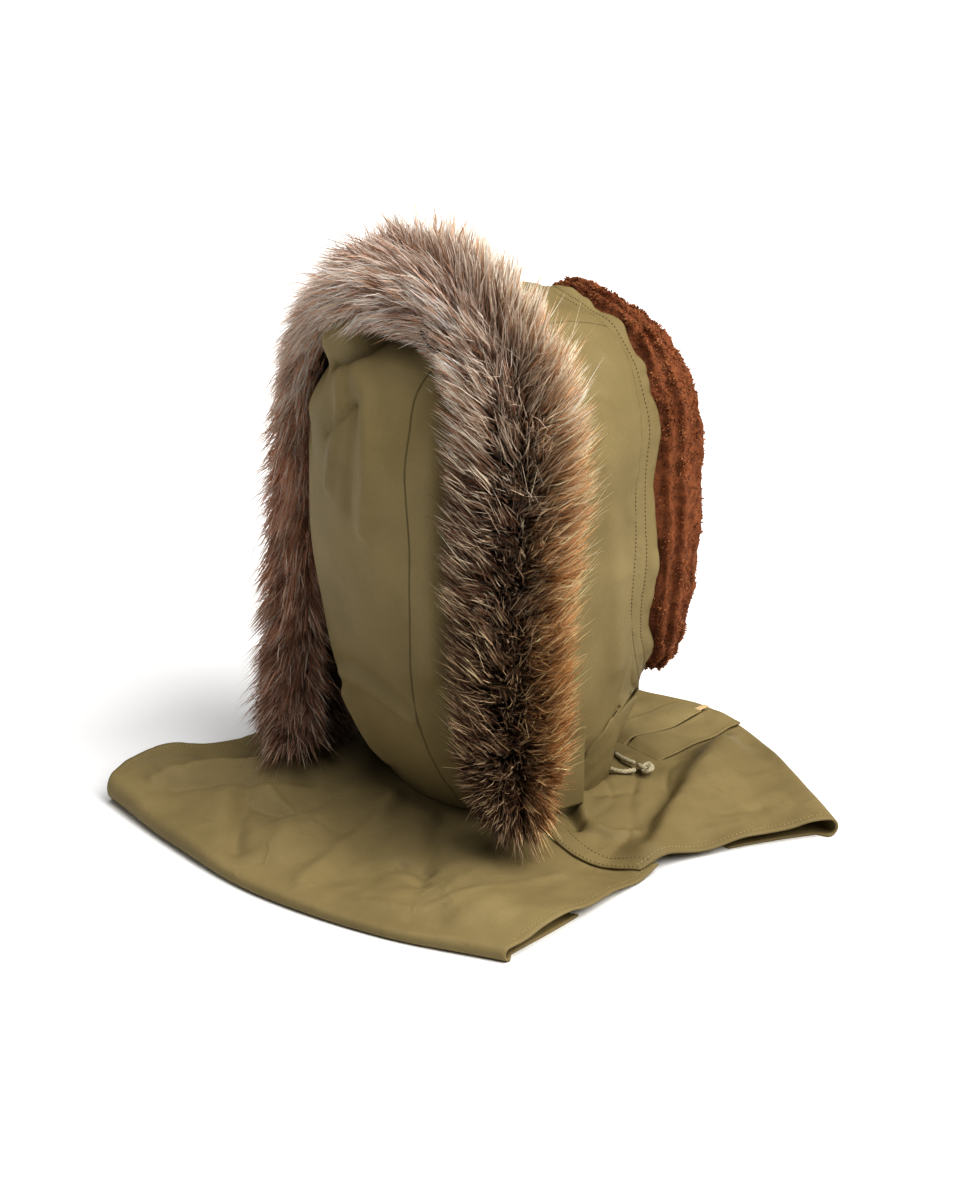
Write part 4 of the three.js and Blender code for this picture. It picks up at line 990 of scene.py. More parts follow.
ruff_route = Route(ruff_rows[:, :3] * (HALF_WIDTH, -HALF_DEPTH, HOOD_RISE) + (0, 0, HOOD_BASE), 1500)
ruff_pile = ruff_rows[:, 3]
RUFF_ENDS = (0.008, 0.992)  # the stations where its fur ends


def ruff_frame(station):
    """The ruff's line at a station, with the ways along it, away from the hood and forward over the hood."""
    p = ruff_route.at(station)
    along = ruff_route.along(station)
    hub_up = np.minimum(p[..., 2], HOOD_BASE + RUFF_HUB[1] * HOOD_RISE)
    hub = np.stack([0 * hub_up, 0 * hub_up - RUFF_HUB[0] * HALF_DEPTH, hub_up], -1)
    away = p - hub
    away = unit(away - along * (away * along).sum(-1, keepdims=True))
    ahead = np.cross(away, along)
    ahead = ahead * np.where(ahead[..., 1:2] > 0, -1, 1)
    return p - away * RUFF_SINK, along, away, ahead


BACKING_ENDS = (0.014, 0.986)
BACKING_STEPS, BACKING_ROWS = 140, 9


def make_ruff_backing():
    stations = np.linspace(*BACKING_ENDS, BACKING_STEPS)
    station, share = np.meshgrid(stations, np.linspace(-0.5, 0.5, BACKING_ROWS), indexing="ij")
    p, _, away, ahead = ruff_frame(station)
    grid = p + ahead * (share * BACKING_WIDTH)[..., None] + away * (BACKING_THICK - 0.2)
    return thicken(add_grid("ruff_hide", grid, hide, flip=True), BACKING_THICK - 0.4)


# The section of the ruff's dark body: forward and outward, as shares of half the width and of the pile.
UNDERFUR = [
    (0.46, 0.0), (0.62, 0.12), (0.6, 0.34), (0.45, 0.48), (0.22, 0.46), (0.0, 0.34), (-0.22, 0.46),
    (-0.45, 0.48), (-0.6, 0.34), (-0.62, 0.12), (-0.46, 0.0),
]
UNDERFUR_STEPS, UNDERFUR_RING = 260, 44
UNDERFUR_WAVES = [(1.6, 15, 41), (1.0, 7, 42)]


def pile_at(station):
    return FUR_PILE * smooth_read(ruff_pile, ruff_route.row_share(station))


def make_underfur():
    """The dark body of the ruff under its long hairs."""
    stations = np.linspace(*RUFF_ENDS, UNDERFUR_STEPS)
    taper = 1 - 0.55 * np.exp(-np.minimum(stations, 1 - stations) / 0.012)
    pile = pile_at(stations) * taper
    p, _, away, ahead = ruff_frame(stations)
    rows = []
    for across, out in UNDERFUR:
        offset = across * FUR_WIDTH / 2 * taper
        rows.append(p + ahead * offset[:, None] + away * (BACKING_THICK + 0.7 + out * pile)[:, None])
    grid = closed_through(np.array(rows), UNDERFUR_RING).transpose(1, 0, 2)
    grid = grid + grid_normals(grid) * (waves(grid, UNDERFUR_WAVES) - 1.0)[..., None]
    return add_skin("ruff_underfur", grid, (grid[0].mean(axis=0), grid[-1].mean(axis=0)), fur_skin)


# Hair colours along the ruff: the station, then the colour near the root, at the middle and at the tip, for
# the back side and for the front side. On the right leg, up to station 0.3, the front side's far brighter
# golden tones are painted light, where the key light falls on that side.
FUR_TONES = [
    (0.0, (60, 31, 19), (88, 52, 33), (250, 222, 184), (62, 34, 21), (150, 102, 64), (255, 222, 170)),
    (0.14, (54, 28, 17), (82, 48, 30), (250, 220, 180), (60, 33, 20), (204, 150, 94), (255, 230, 178)),
    (0.3, (72, 42, 28), (122, 80, 55), (255, 242, 220), (76, 48, 32), (220, 174, 126), (255, 242, 212)),
    (0.42, (116, 76, 55), (214, 164, 128), (255, 252, 246), (112, 74, 54), (222, 176, 138), (255, 252, 240)),
    (0.55, (134, 90, 66), (226, 178, 142), (255, 252, 246), (128, 86, 64), (226, 180, 146), (255, 252, 244)),
    (0.7, (130, 86, 63), (206, 152, 120), (255, 240, 226), (112, 76, 58), (182, 138, 110), (250, 232, 216)),
    (1.0, (100, 68, 52), (168, 128, 104), (252, 232, 216), (88, 62, 50), (148, 114, 95), (242, 226, 210)),
]


def fur_tones(station, front):
    """The colours near the root, at the middle and at the tip, for hairs at a station."""
    stops = [row[0] for row in FUR_TONES]
    tones = np.array([[srgb(*colour) for colour in row[1:]] for row in FUR_TONES])
    read = [read_rows(station, stops, tones[:, k]) for k in range(6)]
    return [mix(read[k], read[k + 3], front[:, None]) for k in range(3)]


ROOT_REACH = 19  # the roots stand this far each side of the ruff's line
TIP_REACH = 50  # and the tips of its outermost hairs this far
TIP_CENTRE = 9  # the tips lie on a round outline whose centre is this far above the backing
WIDEST_FAN = math.radians(112)
FREE_FAN = math.radians(150)  # towards the left foot, where the ruff hangs free of the hood
FREE_FROM, FREE_TO = 0.57, 0.76
ARCH_STATION, ARCH_SPREAD = 0.54, 0.09  # where the ruff arches over the crown, clear of the shell
ARCH_FAN, ARCH_DROP = math.radians(24), 5.0
HAIR_LONGER = 1.16  # than the pile of the solid
HAIR_TOP, HAIR_BOTTOM = 464.5, 1.2
CROWN_LONGER, CROWN_STATION, CROWN_SPREAD = 0.27, 0.44, 0.11
FOOT_NARROW, LEG_NARROW = 0.45, 0.88  # shares of the tips' reach at the right foot and on the right leg
FOOT_LEAN = -0.3  # of the hairs at the right foot
SADDLE_STATION, SADDLE_SPREAD, SADDLE_NARROW = 0.41, 0.055, 0.42  # the crown's back side lies closer there
LOCK_LONG = 8.0  # of one lock along the ruff
LOCKS_ACROSS = 3.5  # on each side of its middle


def lock_noise(station, across, k):
    """A steady number from 0 to 1 for the lock that a hair belongs to."""
    place = np.floor(station * ruff_route.length / LOCK_LONG) * 12.99
    return np.modf(np.abs(np.sin(place + np.floor(across * LOCKS_ACROSS) * 78.23 + k * 37.7) * 43758.5))[0]


def ruff_hair_points(station, across, fan_by, lean_by, grown):
    """Root, two points between and tip of hairs. They part along the ruff's middle and lean along it."""
    p, along, away, ahead = ruff_frame(np.clip(station, *RUFF_ENDS))
    edge = np.abs(across)
    free = smooth_step(FREE_FROM, FREE_TO, station)
    arch = bell(station, ARCH_STATION, ARCH_SPREAD)
    pile = pile_at(station) * mix(0.8, 1.0, smooth_step(0.0, 0.04, np.minimum(station, 1 - station)))
    pile = pile * HAIR_LONGER * (1 + CROWN_LONGER * bell(station, CROWN_STATION, CROWN_SPREAD))
    fan = across * np.maximum(mix(WIDEST_FAN, FREE_FAN, free), WIDEST_FAN + ARCH_FAN * arch) + fan_by
    tip_reach = TIP_REACH * mix(0.8, 1.0, pile / FUR_PILE)
    tip_reach = tip_reach * mix(LEG_NARROW, 1.0, smooth_step(0.12, 0.3, station))
    tip_reach = tip_reach * mix(FOOT_NARROW, 1.0, smooth_step(0.0, 0.07, station))
    saddle = SADDLE_NARROW * bell(station, SADDLE_STATION, SADDLE_SPREAD)
    tip_reach = tip_reach * (1 - saddle * smooth_step(0.1, -0.3, across))
    across_by = np.sin(fan) * tip_reach - across * ROOT_REACH
    out_by = TIP_CENTRE + np.cos(fan) * (pile - TIP_CENTRE) * mix(0.86, 1.0, smooth_step(0.1, 0.4, edge))
    out_by = np.maximum(out_by, np.minimum(mix(-3, -28, free), -3 - ARCH_DROP * arch))
    lean = mix(FOOT_LEAN, mix(0.45, 0.95, edge), smooth_step(0.02, 0.085, station)) + lean_by
    reach = np.hypot(across_by, out_by)
    root = p + ahead * (across * ROOT_REACH)[:, None] + away * (BACKING_THICK + 1.2)
    full = ahead * (across_by * grown)[:, None] + away * (out_by * grown)[:, None]
    swept = along * (lean * mix(reach, 26, 0.4) * grown)[:, None]
    lift = away * (reach * grown * 0.16)[:, None]
    first = root + full * 0.3 + swept * 0.2 + lift * 0.7
    second = root + full * 0.66 + swept * 0.58 + lift
    tip = root + full + swept
    tip[:, 2] -= reach * 0.04
    return [root, first, second, tip], away


def ruff_hair_tints(draw, station, across, pale):
    count = len(station)
    front = smooth_step(-0.25, 0.25, across + draw.normal(0, 0.1, count))
    root, middle, tip = fur_tones(station, front)
    bright = draw.uniform(0.55, 1.4, count) * mix(0.75, 1.25, lock_noise(station, across, 6))
    bright = bright[:, None]
    pale = pale[:, None]
    valley = smooth_step(0.04, 0.5, np.abs(across))[:, None]
    middle = mix(root, middle, mix(0.34, 1.0, valley))
    end = mix(middle, tip, pale * mix(0.55, 1.0, valley))
    tip_bright = mix(bright, np.maximum(bright, 1.0), pale)
    low = [root * 0.6 * bright, mix(root, middle, 0.35) * bright]
    high = [mix(middle, end, 0.8) * tip_bright, end * tip_bright]
    return [np.minimum(tint, 0.97) for tint in low + high]


# The kinds of hair in each stretch: how many, then the ranges of their length, of how closely they keep to
# their lock, and of their width.
HAIR_KINDS = [
    ("under", 15000, (0.55, 0.8), (0.1, 0.4), (0.8, 1.5)),
    ("guard", 16500, (0.78, 1.16), (0.35, 0.85), (0.6, 1.15)),
    ("curl", 800, (0.8, 1.0), (0.0, 0.2), (0.5, 0.75)),
    ("stray", 1400, (1.1, 1.42), (0.0, 0.3), (0.3, 0.5)),
]
CURL_REACH = 0.42  # curls stand near the ruff's middle
HOLD_SHARES = (0.2, 0.6, 1.0)  # how far a hair's points keep to their lock, from the root's side to the tip


def hair_paleness(draw, kind, station):
    """How far each hair's tip turns pale, from 0 to 1."""
    count = len(station)
    if kind == "under":
        return draw.uniform(0.0, 0.35, count)
    if kind == "curl":
        return draw.uniform(0.8, 1.0, count)
    if kind == "stray":
        return draw.choice([0.0, 0.9], count)
    share = mix(0.25, 0.72, smooth_step(0.25, 0.42, station) - smooth_step(0.6, 0.8, station))
    return np.where(draw.random(count) < share, draw.uniform(0.85, 1.0, count), draw.uniform(0.0, 0.3, count))


def make_ruff_hair(name, low, high, seed):
    """Hairs from one stretch of the ruff: short dense underfur, and long pale guard hairs held in locks."""
    draw = np.random.default_rng(seed)
    lock = LOCK_LONG / ruff_route.length
    groups = []
    for kind, amount, *ranges in HAIR_KINDS:
        count = int(amount * STRAND_SHARE)
        station = draw.uniform(low, high, count)
        across = np.clip(draw.uniform(-1.0, 1.0, count) + draw.normal(0, 0.06, count), -1, 1)
        noise = [lock_noise(station, across, k) for k in range(6)]
        lock_station = (np.floor(station / lock) + 0.5) * lock + (noise[1] - 0.5) * 0.4 * lock
        lock_across = np.clip((np.floor(across * LOCKS_ACROSS) + 0.2 + 0.6 * noise[2]) / LOCKS_ACROSS, -1, 1)
        if kind == "curl":
            across = across * CURL_REACH
        grown, hold, width = (draw.uniform(*limits, count) for limits in ranges)
        pale = hair_paleness(draw, kind, station)
        loose = 3.0 if kind == "curl" else 1.0
        fan_by = draw.normal(0, 0.19 * loose, count)
        lean_by = draw.normal(0, 0.24 * loose, count)
        own, away = ruff_hair_points(station, across, fan_by, lean_by, grown)
        lock_ways = ((noise[3] - 0.5) * 0.5, (noise[4] - 0.5) * 0.7)
        lock_grown = grown * mix(0.88, 1.14, noise[5])
        held, _ = ruff_hair_points(lock_station, lock_across, *lock_ways, lock_grown)
        levels = [own[0]]
        for k, share in enumerate(HOLD_SHARES, 1):
            wobble = draw.normal(0, 0.35 * k * (2.2 if kind == "curl" else 1.0), (count, 3))
            levels.append(mix(own[k], held[k], (hold * share)[:, None]) + wobble)
        over = np.maximum(levels[3][:, 2] - HAIR_TOP + draw.uniform(0, 5, count), 0)
        kept = (1 - over / np.maximum(levels[3][:, 2] - levels[0][:, 2], 1))[:, None]
        levels[1:] = [levels[0] + (level - levels[0]) * kept for level in levels[1:]]
        for level in levels:
            level[:, 2] = np.maximum(level[:, 2], HAIR_BOTTOM)
        tint = ruff_hair_tints(draw, station, across, pale)
        side = unit(np.cross(levels[3] - levels[0], draw.normal(size=(count, 3)) * 0.6 + away * 0.9))
        if kind == "under":
            del levels[1], tint[1]
        groups.append(strands(levels, width, side, tint))
    return add_strands(name, groups, fur_hair)


# The cape, as in the part's source: plan outlines with the height of the cloth, then its folds.
BACK_FOLD = [
    (-0.542, -0.237, 6.5), (-0.372, -0.359, 5), (-0.15, -0.461, 6), (0.07, -0.505, 9), (0.262, -0.525, 12),
]
FRONT_FOLD = [(-0.461, 0.398, 9), (-0.268, 0.442, 7), (-0.088, 0.468, 5), (0.043, 0.458, 5), (0.134, 0.4, 6),
              (0.295, 0.35, 8), (0.43, 0.245, 9)]
RIGHT_HEM = [(-0.542, -0.237, 6.5), (-0.505, -0.135, 8.5), (-0.458, -0.03, 5), (-0.416, 0.065, 2.6)]
RIGHT_HEM_FRONT = [(-0.416, 0.065, 2.6), (-0.409, 0.15, 3.2), (-0.43, 0.29, 6.5), (-0.461, 0.398, 9)]
LEFT_HEM = [
    (0.262, -0.525, 12), (0.338, -0.43, 10), (0.325, -0.275, 7), (0.355, -0.12, 5.5), (0.39, 0.008, 5),
]
LEFT_HEM_FRONT = [(0.39, 0.008, 5), (0.42, 0.13, 6), (0.43, 0.245, 9)]
SHOULDER = [
    (-0.416, 0.065, 2.6), (-0.38, 0.033, 4), (-0.339, 0.004, 5), (-0.298, -0.01, 6), (-0.25, -0.01, 7),
    (-0.17, 0.024, 9), (0.0, 0.03, 10), (0.17, 0.02, 9), (0.25, -0.01, 7), (0.32, -0.01, 6),
    (0.39, 0.008, 5),
]
FOLDS = [  # from, to, width and height, as shares
    ((0.22, -0.42), (0.19, -0.2), 0.05, 0.016),
    ((0.28, -0.34), (0.25, -0.18), 0.045, -0.014),
    ((0.11, -0.4), (0.13, -0.2), 0.045, 0.013),
    ((0.04, -0.34), (0.07, -0.2), 0.045, -0.014),
    ((-0.06, -0.38), (-0.01, -0.2), 0.05, 0.014),
    ((-0.2, -0.32), (-0.1, -0.2), 0.06, -0.01),
    ((-0.4, -0.21), (-0.2, -0.14), 0.06, 0.012),
    ((-0.3, 0.07), (-0.25, 0.12), 0.05, -0.016),
    ((-0.37, 0.11), (-0.17, 0.38), 0.05, 0.028),
    ((-0.27, 0.13), (-0.13, 0.28), 0.045, -0.012),
    ((0.2, 0.16), (0.32, 0.26), 0.06, 0.016),
]
LOWEST_CLOTH = 2.4
UNDER_SHARE = 0.5
SHOULDER_LAP = 16
LAP_GAP = 0.9
LEAST_HEIGHT = 3.6  # of the middle of the top layer, which stays clear of the layer under it


def plan_rows(rows):
    return np.array([(x * CAPE_WIDTH, f * CAPE_LENGTH, CAPE_WALL * (high - 0.5)) for x, f, high in rows])


edge_rows = plan_rows(BACK_FOLD + FRONT_FOLD + RIGHT_HEM + RIGHT_HEM_FRONT + LEFT_HEM + LEFT_HEM_FRONT)
cape_folds = [(np.array([start, end]) * (CAPE_WIDTH, CAPE_LENGTH), width * CAPE_WIDTH, height * CAPE_WIDTH)
              for start, end, width, height in FOLDS]
neck_section = [part[0] for part in section(np.array([0.0]))]


def cape_height(x, forward):
    """Height of the cape's cloth, at its middle, over a plan point."""
    apart = np.hypot(edge_rows[:, 0] - x[..., None], edge_rows[:, 1] - forward[..., None]) / CAPE_WIDTH
    weight = 1 / (apart**2 + 0.0004) ** 1.5
    free = (weight * edge_rows[:, 2]).sum(-1) / weight.sum(-1)
    here = np.stack([x, forward], -1)
    free = np.maximum(free + folds(here, cape_folds), CAPE_WALL * LOWEST_CLOTH)
    ratio = oval(x, forward - HOOD_SHIFT, neck_section) ** (1 / SECTION_POWER)
    outside = (1 - 1 / np.maximum(ratio, 0.2)) * np.hypot(x, forward - HOOD_SHIFT)
    neck = 1 - smooth_step(NECK_LEDGE, NECK_LEDGE + NECK_FALL, outside)
    return mix(free, NECK_HEIGHT - CAPE_WALL / 2, neck**NECK_BEND)


# Creases of the cape that are finer than the solid's folds: plan points, width and height.
CAPE_CREASES = [
    ([(157, -232), (157, -190), (130, -143)], 7, 1.6),
    ([(100, -200), (109, -169), (110, -136), (103, -105)], 6.5, -6.0),
    ([(92, -224), (93, -174), (81, -140), (62, -117)], 5.5, 4.6),
    ([(78, -214), (70, -176), (58, -146), (44, -118)], 6, -5.0),
    ([(30, -170), (8, -146), (15, -117)], 4.5, -4.6),
    ([(44, -152), (24, -150), (0, -149)], 3.5, 2.4),
    ([(-12, -71), (-36, -104), (-53, -140), (-83, -191)], 8, 4.6),
    ([(-4, -163), (-48, -194), (-82, -222)], 9, 1.6),
    ([(59, -161), (20, -189), (-20, -212)], 7, -4.4),
    ([(-51, -51), (-91, -90), (-126, -118)], 7, -3.8),
    ([(-165, -25), (-164, -83), (-160, -135), (-130, -168)], 3.2, 1.1),
    ([(-95, -117), (-116, -104)], 4, -3.2),
    ([(-104, -128), (-124, -112)], 4, 1.2),
    ([(48, -60), (21, -62), (-9, -53)], 5, -2.0),
    ([(-86, 24), (-112, 21)], 8, -9.0),
    ([(-86, 41), (-104, 31), (-118, 28), (-133, 39), (-138, 53)], 4.5, 4.6),
    ([(-72, 56), (-71, 87)], 5, 2.0),
    ([(-89, 54), (-89, 85)], 5, -2.4),
    ([(-180, 32), (-160, 58), (-133, 86), (-90, 142), (-43, 212)], 9, 4.4),
    ([(-161, 51), (-130, 79), (-100, 114)], 8, -6.5),
    ([(-122, 133), (-142, 144)], 3.5, 0.9),
    ([(-116, 165), (-116, 187)], 3.5, 0.9),
    ([(-163, 96), (-167, 129)], 3.5, 1.0),
    ([(-151, 122), (-154, 156)], 4, -1.0),
    ([(40, 130), (90, 150), (140, 130)], 9, 1.8),
    ([(60, 100), (110, 118), (150, 100)], 8, -1.6),
    ([(120, -60), (96, -90), (60, -100)], 8, 1.6),
]


CAPE_ACROSS, CAPE_UNDER, CAPE_BEND, CAPE_RUN = 156, 6, 9, 104  # steps of a panel's grid
FOLD_STEP = 0.06  # the share of a panel over which the way into its fold is read


def cape_panel(fold, right, left, lap, sink):
    """A panel's grid: its layer underneath, the bend at its fold, then its top as far as the shoulder."""
    fold, right, left, shoulder = (Route(plan_rows(rows)) for rows in (fold, right, left, SHOULDER))

    def flat(route, share):
        return route.at(share)[:, :2]

    def surface(u, v):
        """The plan, as a patch between the panel's four edges."""
        low, high = 0 * u, 0 * u + 1
        a, b = u[:, None], v[:, None]
        shift = np.array([0, lap])
        p = flat(fold, u) * (1 - b) + (flat(shoulder, u) + shift) * b
        p = p + (flat(right, v) + shift * b) * (1 - a) + (flat(left, v) + shift * b) * a
        # Both pairs of edges hold the four corners, so these come off once.
        p = p - (flat(fold, low) * (1 - a) + flat(fold, high) * a) * (1 - b)
        return p - ((flat(shoulder, low) + shift) * (1 - a) + (flat(shoulder, high) + shift) * a) * b

    u = np.linspace(0, 1, CAPE_ACROSS + 1)
    start = surface(u, 0 * u)
    inward = surface(u, 0 * u + FOLD_STEP) - start
    edge_height = cape_height(start[:, 0], start[:, 1])
    radius = edge_height / 2 - CAPE_WALL / 4
    away = -unit(inward)
    centre = start - away * radius[:, None]
    begin = FOLD_STEP * radius / np.linalg.norm(inward, axis=1)
    shift = centre - surface(u, begin)
    columns = []
    for i in range(CAPE_UNDER, 0, -1):
        p = surface(mix(0.015, 0.985, u), 0 * u + UNDER_SHARE * i / CAPE_UNDER)
        columns.append(np.column_stack([p, np.full(len(u), CAPE_WALL / 2)]))
    for i in range(CAPE_BEND + 1):
        angle = mix(-math.pi / 2, math.pi / 2, i / CAPE_BEND)
        p = centre + away * (radius * math.cos(angle))[:, None]
        columns.append(np.column_stack([p, radius + CAPE_WALL / 2 + radius * math.sin(angle)]))
    for i in range(1, CAPE_RUN + 1):
        v = mix(begin, 1, i / CAPE_RUN)
        p = surface(u, v) + shift * (1 - smooth_step(0, 0.2, v))[:, None]
        top = cape_height(p[:, 0], p[:, 1]) - sink * smooth_step(0.78, 0.9, v)
        height = mix(edge_height, top, smooth_step(0, 0.2, v))
        lifted = np.maximum(height + cape_lift(p, u, v), np.minimum(height, LEAST_HEIGHT))
        columns.append(np.column_stack([p, lifted]))
    return np.array(columns).transpose(1, 0, 2) * (1, -1, 1)


CAPE_WAVES = [(1.3, 66, 51), (0.5, 27, 52)]
CALM_SECTION = (82, 84, 84)  # the cloth inside this oval, under the hood's edge, has no fine folds


def cape_lift(p, u, v):
    """Fine folds of the cape's top, calm at its hems and flat under the hood's edge."""
    here = np.column_stack([p, np.zeros(len(p))])
    lift = waves(here, CAPE_WAVES) - 1.3 * crumple(here, 58, 54) + folds(p, CAPE_CREASES)
    side = smooth_step(0.0, 0.08, np.minimum(u, 1 - u)) * 0.7 + 0.3
    edge = smooth_step(0.0, 0.12, v) * (1 - 0.6 * smooth_step(0.86, 1.0, v))
    neck = smooth_step(0.85, 1.25, oval(p[:, 0], p[:, 1] - HOOD_SHIFT, CALM_SECTION))
    return lift * side * edge * neck


def neck_hole_keep(grid):
    """Squares of a cape grid that lie outside the hole under the hood."""
    within = oval(grid[..., 0], -grid[..., 1] - HOOD_SHIFT, neck_section) < NECK_HOLE**SECTION_POWER
    inside = within & (grid[..., 2] > CAPE_WALL * 2)
    return ~(inside[:-1, :-1] | inside[1:, :-1] | inside[:-1, 1:] | inside[1:, 1:])


def on_grid(grid, i, j):
    """Reads a grid between its points, at row i and column j."""
    i, j = np.broadcast_arrays(i, j)
    i0 = np.clip(np.floor(i).astype(int), 0, grid.shape[0] - 2)
    j0 = np.clip(np.floor(j).astype(int), 0, grid.shape[1] - 2)
    a, b = (i - i0)[:, None], (j - j0)[:, None]
    low = mix(grid[i0, j0], grid[i0, j0 + 1], b)
    return mix(low, mix(grid[i0 + 1, j0], grid[i0 + 1, j0 + 1], b), a)


UP = np.array([0.0, 0.0, 1.0])


def grid_stitches(name, grid, i, j, material, out=UP, lift=0.2):
    """A row of stitches on a grid, which stand out of it one way."""
    p = on_grid(grid, i, j) + out * lift
    return stitches(name, p, np.broadcast_to(out, p.shape), material)


STITCH_LIFT = CAPE_WALL / 2 + 0.15
SHOULDER_ROWS = (("outer", 1.2), ("inner", 7.5))  # how far back from the panel's last column each row runs


def make_cape():
    back = cape_panel(BACK_FOLD, RIGHT_HEM, LEFT_HEM, SHOULDER_LAP, CAPE_WALL + LAP_GAP)
    front = cape_panel(FRONT_FOLD, RIGHT_HEM_FRONT[::-1], LEFT_HEM_FRONT[::-1], 0, 0)
    rows, columns = front.shape[:2]
    made = []
    for name, grid in (("back_cape_cloth", back), ("front_cape_cloth", front)):
        piece = add_grid(name, grid, cloth, keep=neck_hole_keep(grid), flip=name.startswith("front"))
        remove_loose(piece)
        made.append(thicken(piece, CAPE_WALL, 0.0))
        run = np.linspace(CAPE_UNDER + CAPE_BEND + 2, columns - 1.5, 500)
        for side, i in (("right", 2.2), ("left", rows - 3.2)):
            made.append(grid_stitches(f"{name}_hem_{side}", grid, i, run, pale_thread, lift=STITCH_LIFT))
    for row, back_by in SHOULDER_ROWS:
        for side, low, high in (("right", 1, rows * 0.3), ("left", rows * 0.72, rows - 2)):
            name = f"shoulder_stitch_{row}_{side}"
            i = np.linspace(low, high, 400)
            made.append(grid_stitches(name, front, i, columns - 1 - back_by, thread, lift=STITCH_LIFT))
    return made


# The side flaps, which hang from the shell beside the ruff's feet.
FLAP_SET, FLAP_WIDTH, FLAP_THICK, FLAP_GAP = -22, 56, 1.8, 0.1
FLAP_TOP, FLAP_SEAM, FLAP_CLEAR = 58, 10, 3
FLAP_ROWS, FLAP_COLUMNS = 44, 40


def make_flap(side, word):
    down = np.linspace(0, 1, FLAP_ROWS)
    share, along = np.meshgrid(down, np.linspace(0, 1, FLAP_COLUMNS), indexing="ij")
    height = mix(HOOD_BASE + FLAP_TOP + FLAP_SEAM, HOOD_BASE + FLAP_CLEAR, share)
    forward = FLAP_SET + along * FLAP_WIDTH
    level = level_at(np.maximum(height, HOOD_BASE + FLAP_TOP))
    x = side_of(forward, level) + FLAP_GAP + FLAP_THICK
    here = np.stack([x, -forward, height], -1)
    x = x + 0.5 * ripple(here, 30, 61) * share + 0.9 * np.sin(along * 5.0 + 1) * share**2
    grid = np.stack([side * x, -forward, height], -1)
    piece = thicken(add_grid(f"flap_cloth_{word}", grid, cloth, flip=side > 0), FLAP_THICK)
    out = np.array([float(side), 0, 0])
    low = grid_stitches(f"flap_stitch_low_{word}", grid, 40.5, np.linspace(1, 38, 300), thread, out)
    edge = grid_stitches(f"flap_stitch_edge_{word}", grid, np.linspace(4, 41, 300), 36.6, thread, out)
    return [piece, low, edge]


# The placket on the front panel.
SLIT_FROM = np.array([-0.062 * CAPE_WIDTH, 0.245 * CAPE_LENGTH])
SLIT_TO = np.array([0.001 * CAPE_WIDTH, 0.437 * CAPE_LENGTH])
SLIT_WIDTH = 2.4
PLACKET_THICK, TAPE_THICK = 1.5, 0.9
# The strips: name, near side's place, width, start and length along the slit, gap under it and thickness.
STRIPS = [
    ("placket_top", -32 - SLIT_WIDTH / 2, 32, 0, 100, 1.4, PLACKET_THICK),
    ("placket_low", SLIT_WIDTH / 2, 27, 0, 94, 0.6, PLACKET_THICK),
    ("tape_bit", SLIT_WIDTH / 2 + 1, 9, 92, 12, 0.6 + PLACKET_THICK + 0.4, TAPE_THICK),
]
STRIP_STITCHES = [("placket_stitch_0", 0, 1.5), ("placket_stitch_1", 0, 21.5), ("underlap_stitch_0", 1, 21.5)]


def make_strip(name, near, width, start, length, gap, thick):
    rows, columns = (12, 8) if name == "tape_bit" else (70, 24)
    run = unit(SLIT_TO - SLIT_FROM)
    side = np.array([run[1], -run[0]])
    i, j = np.meshgrid(np.linspace(0, 1, rows), np.linspace(0, 1, columns), indexing="ij")
    p = SLIT_FROM + run * (start + length * i)[..., None] + side * (near + width * j)[..., None]
    wave = 0.15 * ripple(np.concatenate([p, p[..., :1] * 0], -1), 26, 81)
    middle = np.full(i.size, 0.5)
    fine = cape_lift(p.reshape(-1, 2), middle, middle).reshape(i.shape)
    outer_side = j if near < 0 else 1 - j
    raised = mix(0.7, gap + thick, smooth_step(0.0, 0.5, outer_side))
    raised = mix(-1.2, raised, smooth_step(0.0, 0.12, i))
    height = cape_height(p[..., 0], p[..., 1]) + fine + CAPE_WALL / 2 + raised + wave * outer_side
    grid = np.stack([p[..., 0], -p[..., 1], height], -1)
    return thicken(add_grid(name, grid, tape if name == "tape_bit" else cloth), thick), grid


def make_placket():
    pieces, grids = zip(*(make_strip(*strip) for strip in STRIPS))
    run = np.linspace(1, 68, 300)
    rows = [grid_stitches(name, grids[k], run, column, thread) for name, k, column in STRIP_STITCHES]
    return [*pieces, *rows]


# The drawcord's two ends. The points are those of the solids, in millimetres in the part's frame.
CORD_DIAMETER = 4.0
CORD_ROUTES = {
    "right": [
        (-4.4, -108.2, 45.2), (-6.3, -111.4, 38), (-10.2, -108.9, 29), (-17.2, -102.9, 23),
        (-25.3, -96.9, 21.8), (-33.2, -94.4, 21.8), (-41.3, -96, 21.8), (-46.2, -100.9, 21.4),
        (-47.3, -106.9, 20.9), (-46.8, -111.1, 20.5),
    ],
    "left": [
        (53.9, -108.2, 45.2), (55.8, -111.4, 38), (59.7, -108.9, 29), (66.7, -102.9, 23),
        (74.8, -96.9, 21.8), (82.7, -94.4, 21.8), (90.7, -96, 21.8), (95.7, -100.9, 21.7),
        (96.7, -106.9, 21.5), (96.3, -111.1, 21.3),
    ],
}
TAIL_ROUTES = {
    "right": [(-38.6, -116.3, 21.2), (-31.3, -113, 21.8), (-22.3, -111.8, 21.9), (-13.2, -112.2, 21.8)],
    "left": [(88.1, -116.3, 21.8), (80.7, -113, 22), (71.8, -111.8, 21.9), (62.7, -112.2, 21.8)],
}
KNOT_SIZE = np.array([2.35, 1.75, 1.25])
KNOT_PLACES = {"right": (-49, -119.8, 21.2), "left": (98.6, -119.8, 22.6)}
CORD_SECTION = {"sides": 12, "twist": 0.9, "lobe_depth": 0.14}
CORD_RADIUS = CORD_DIAMETER / 2
CAP_FROM = 45  # the point of the tail's line at which its cap begins


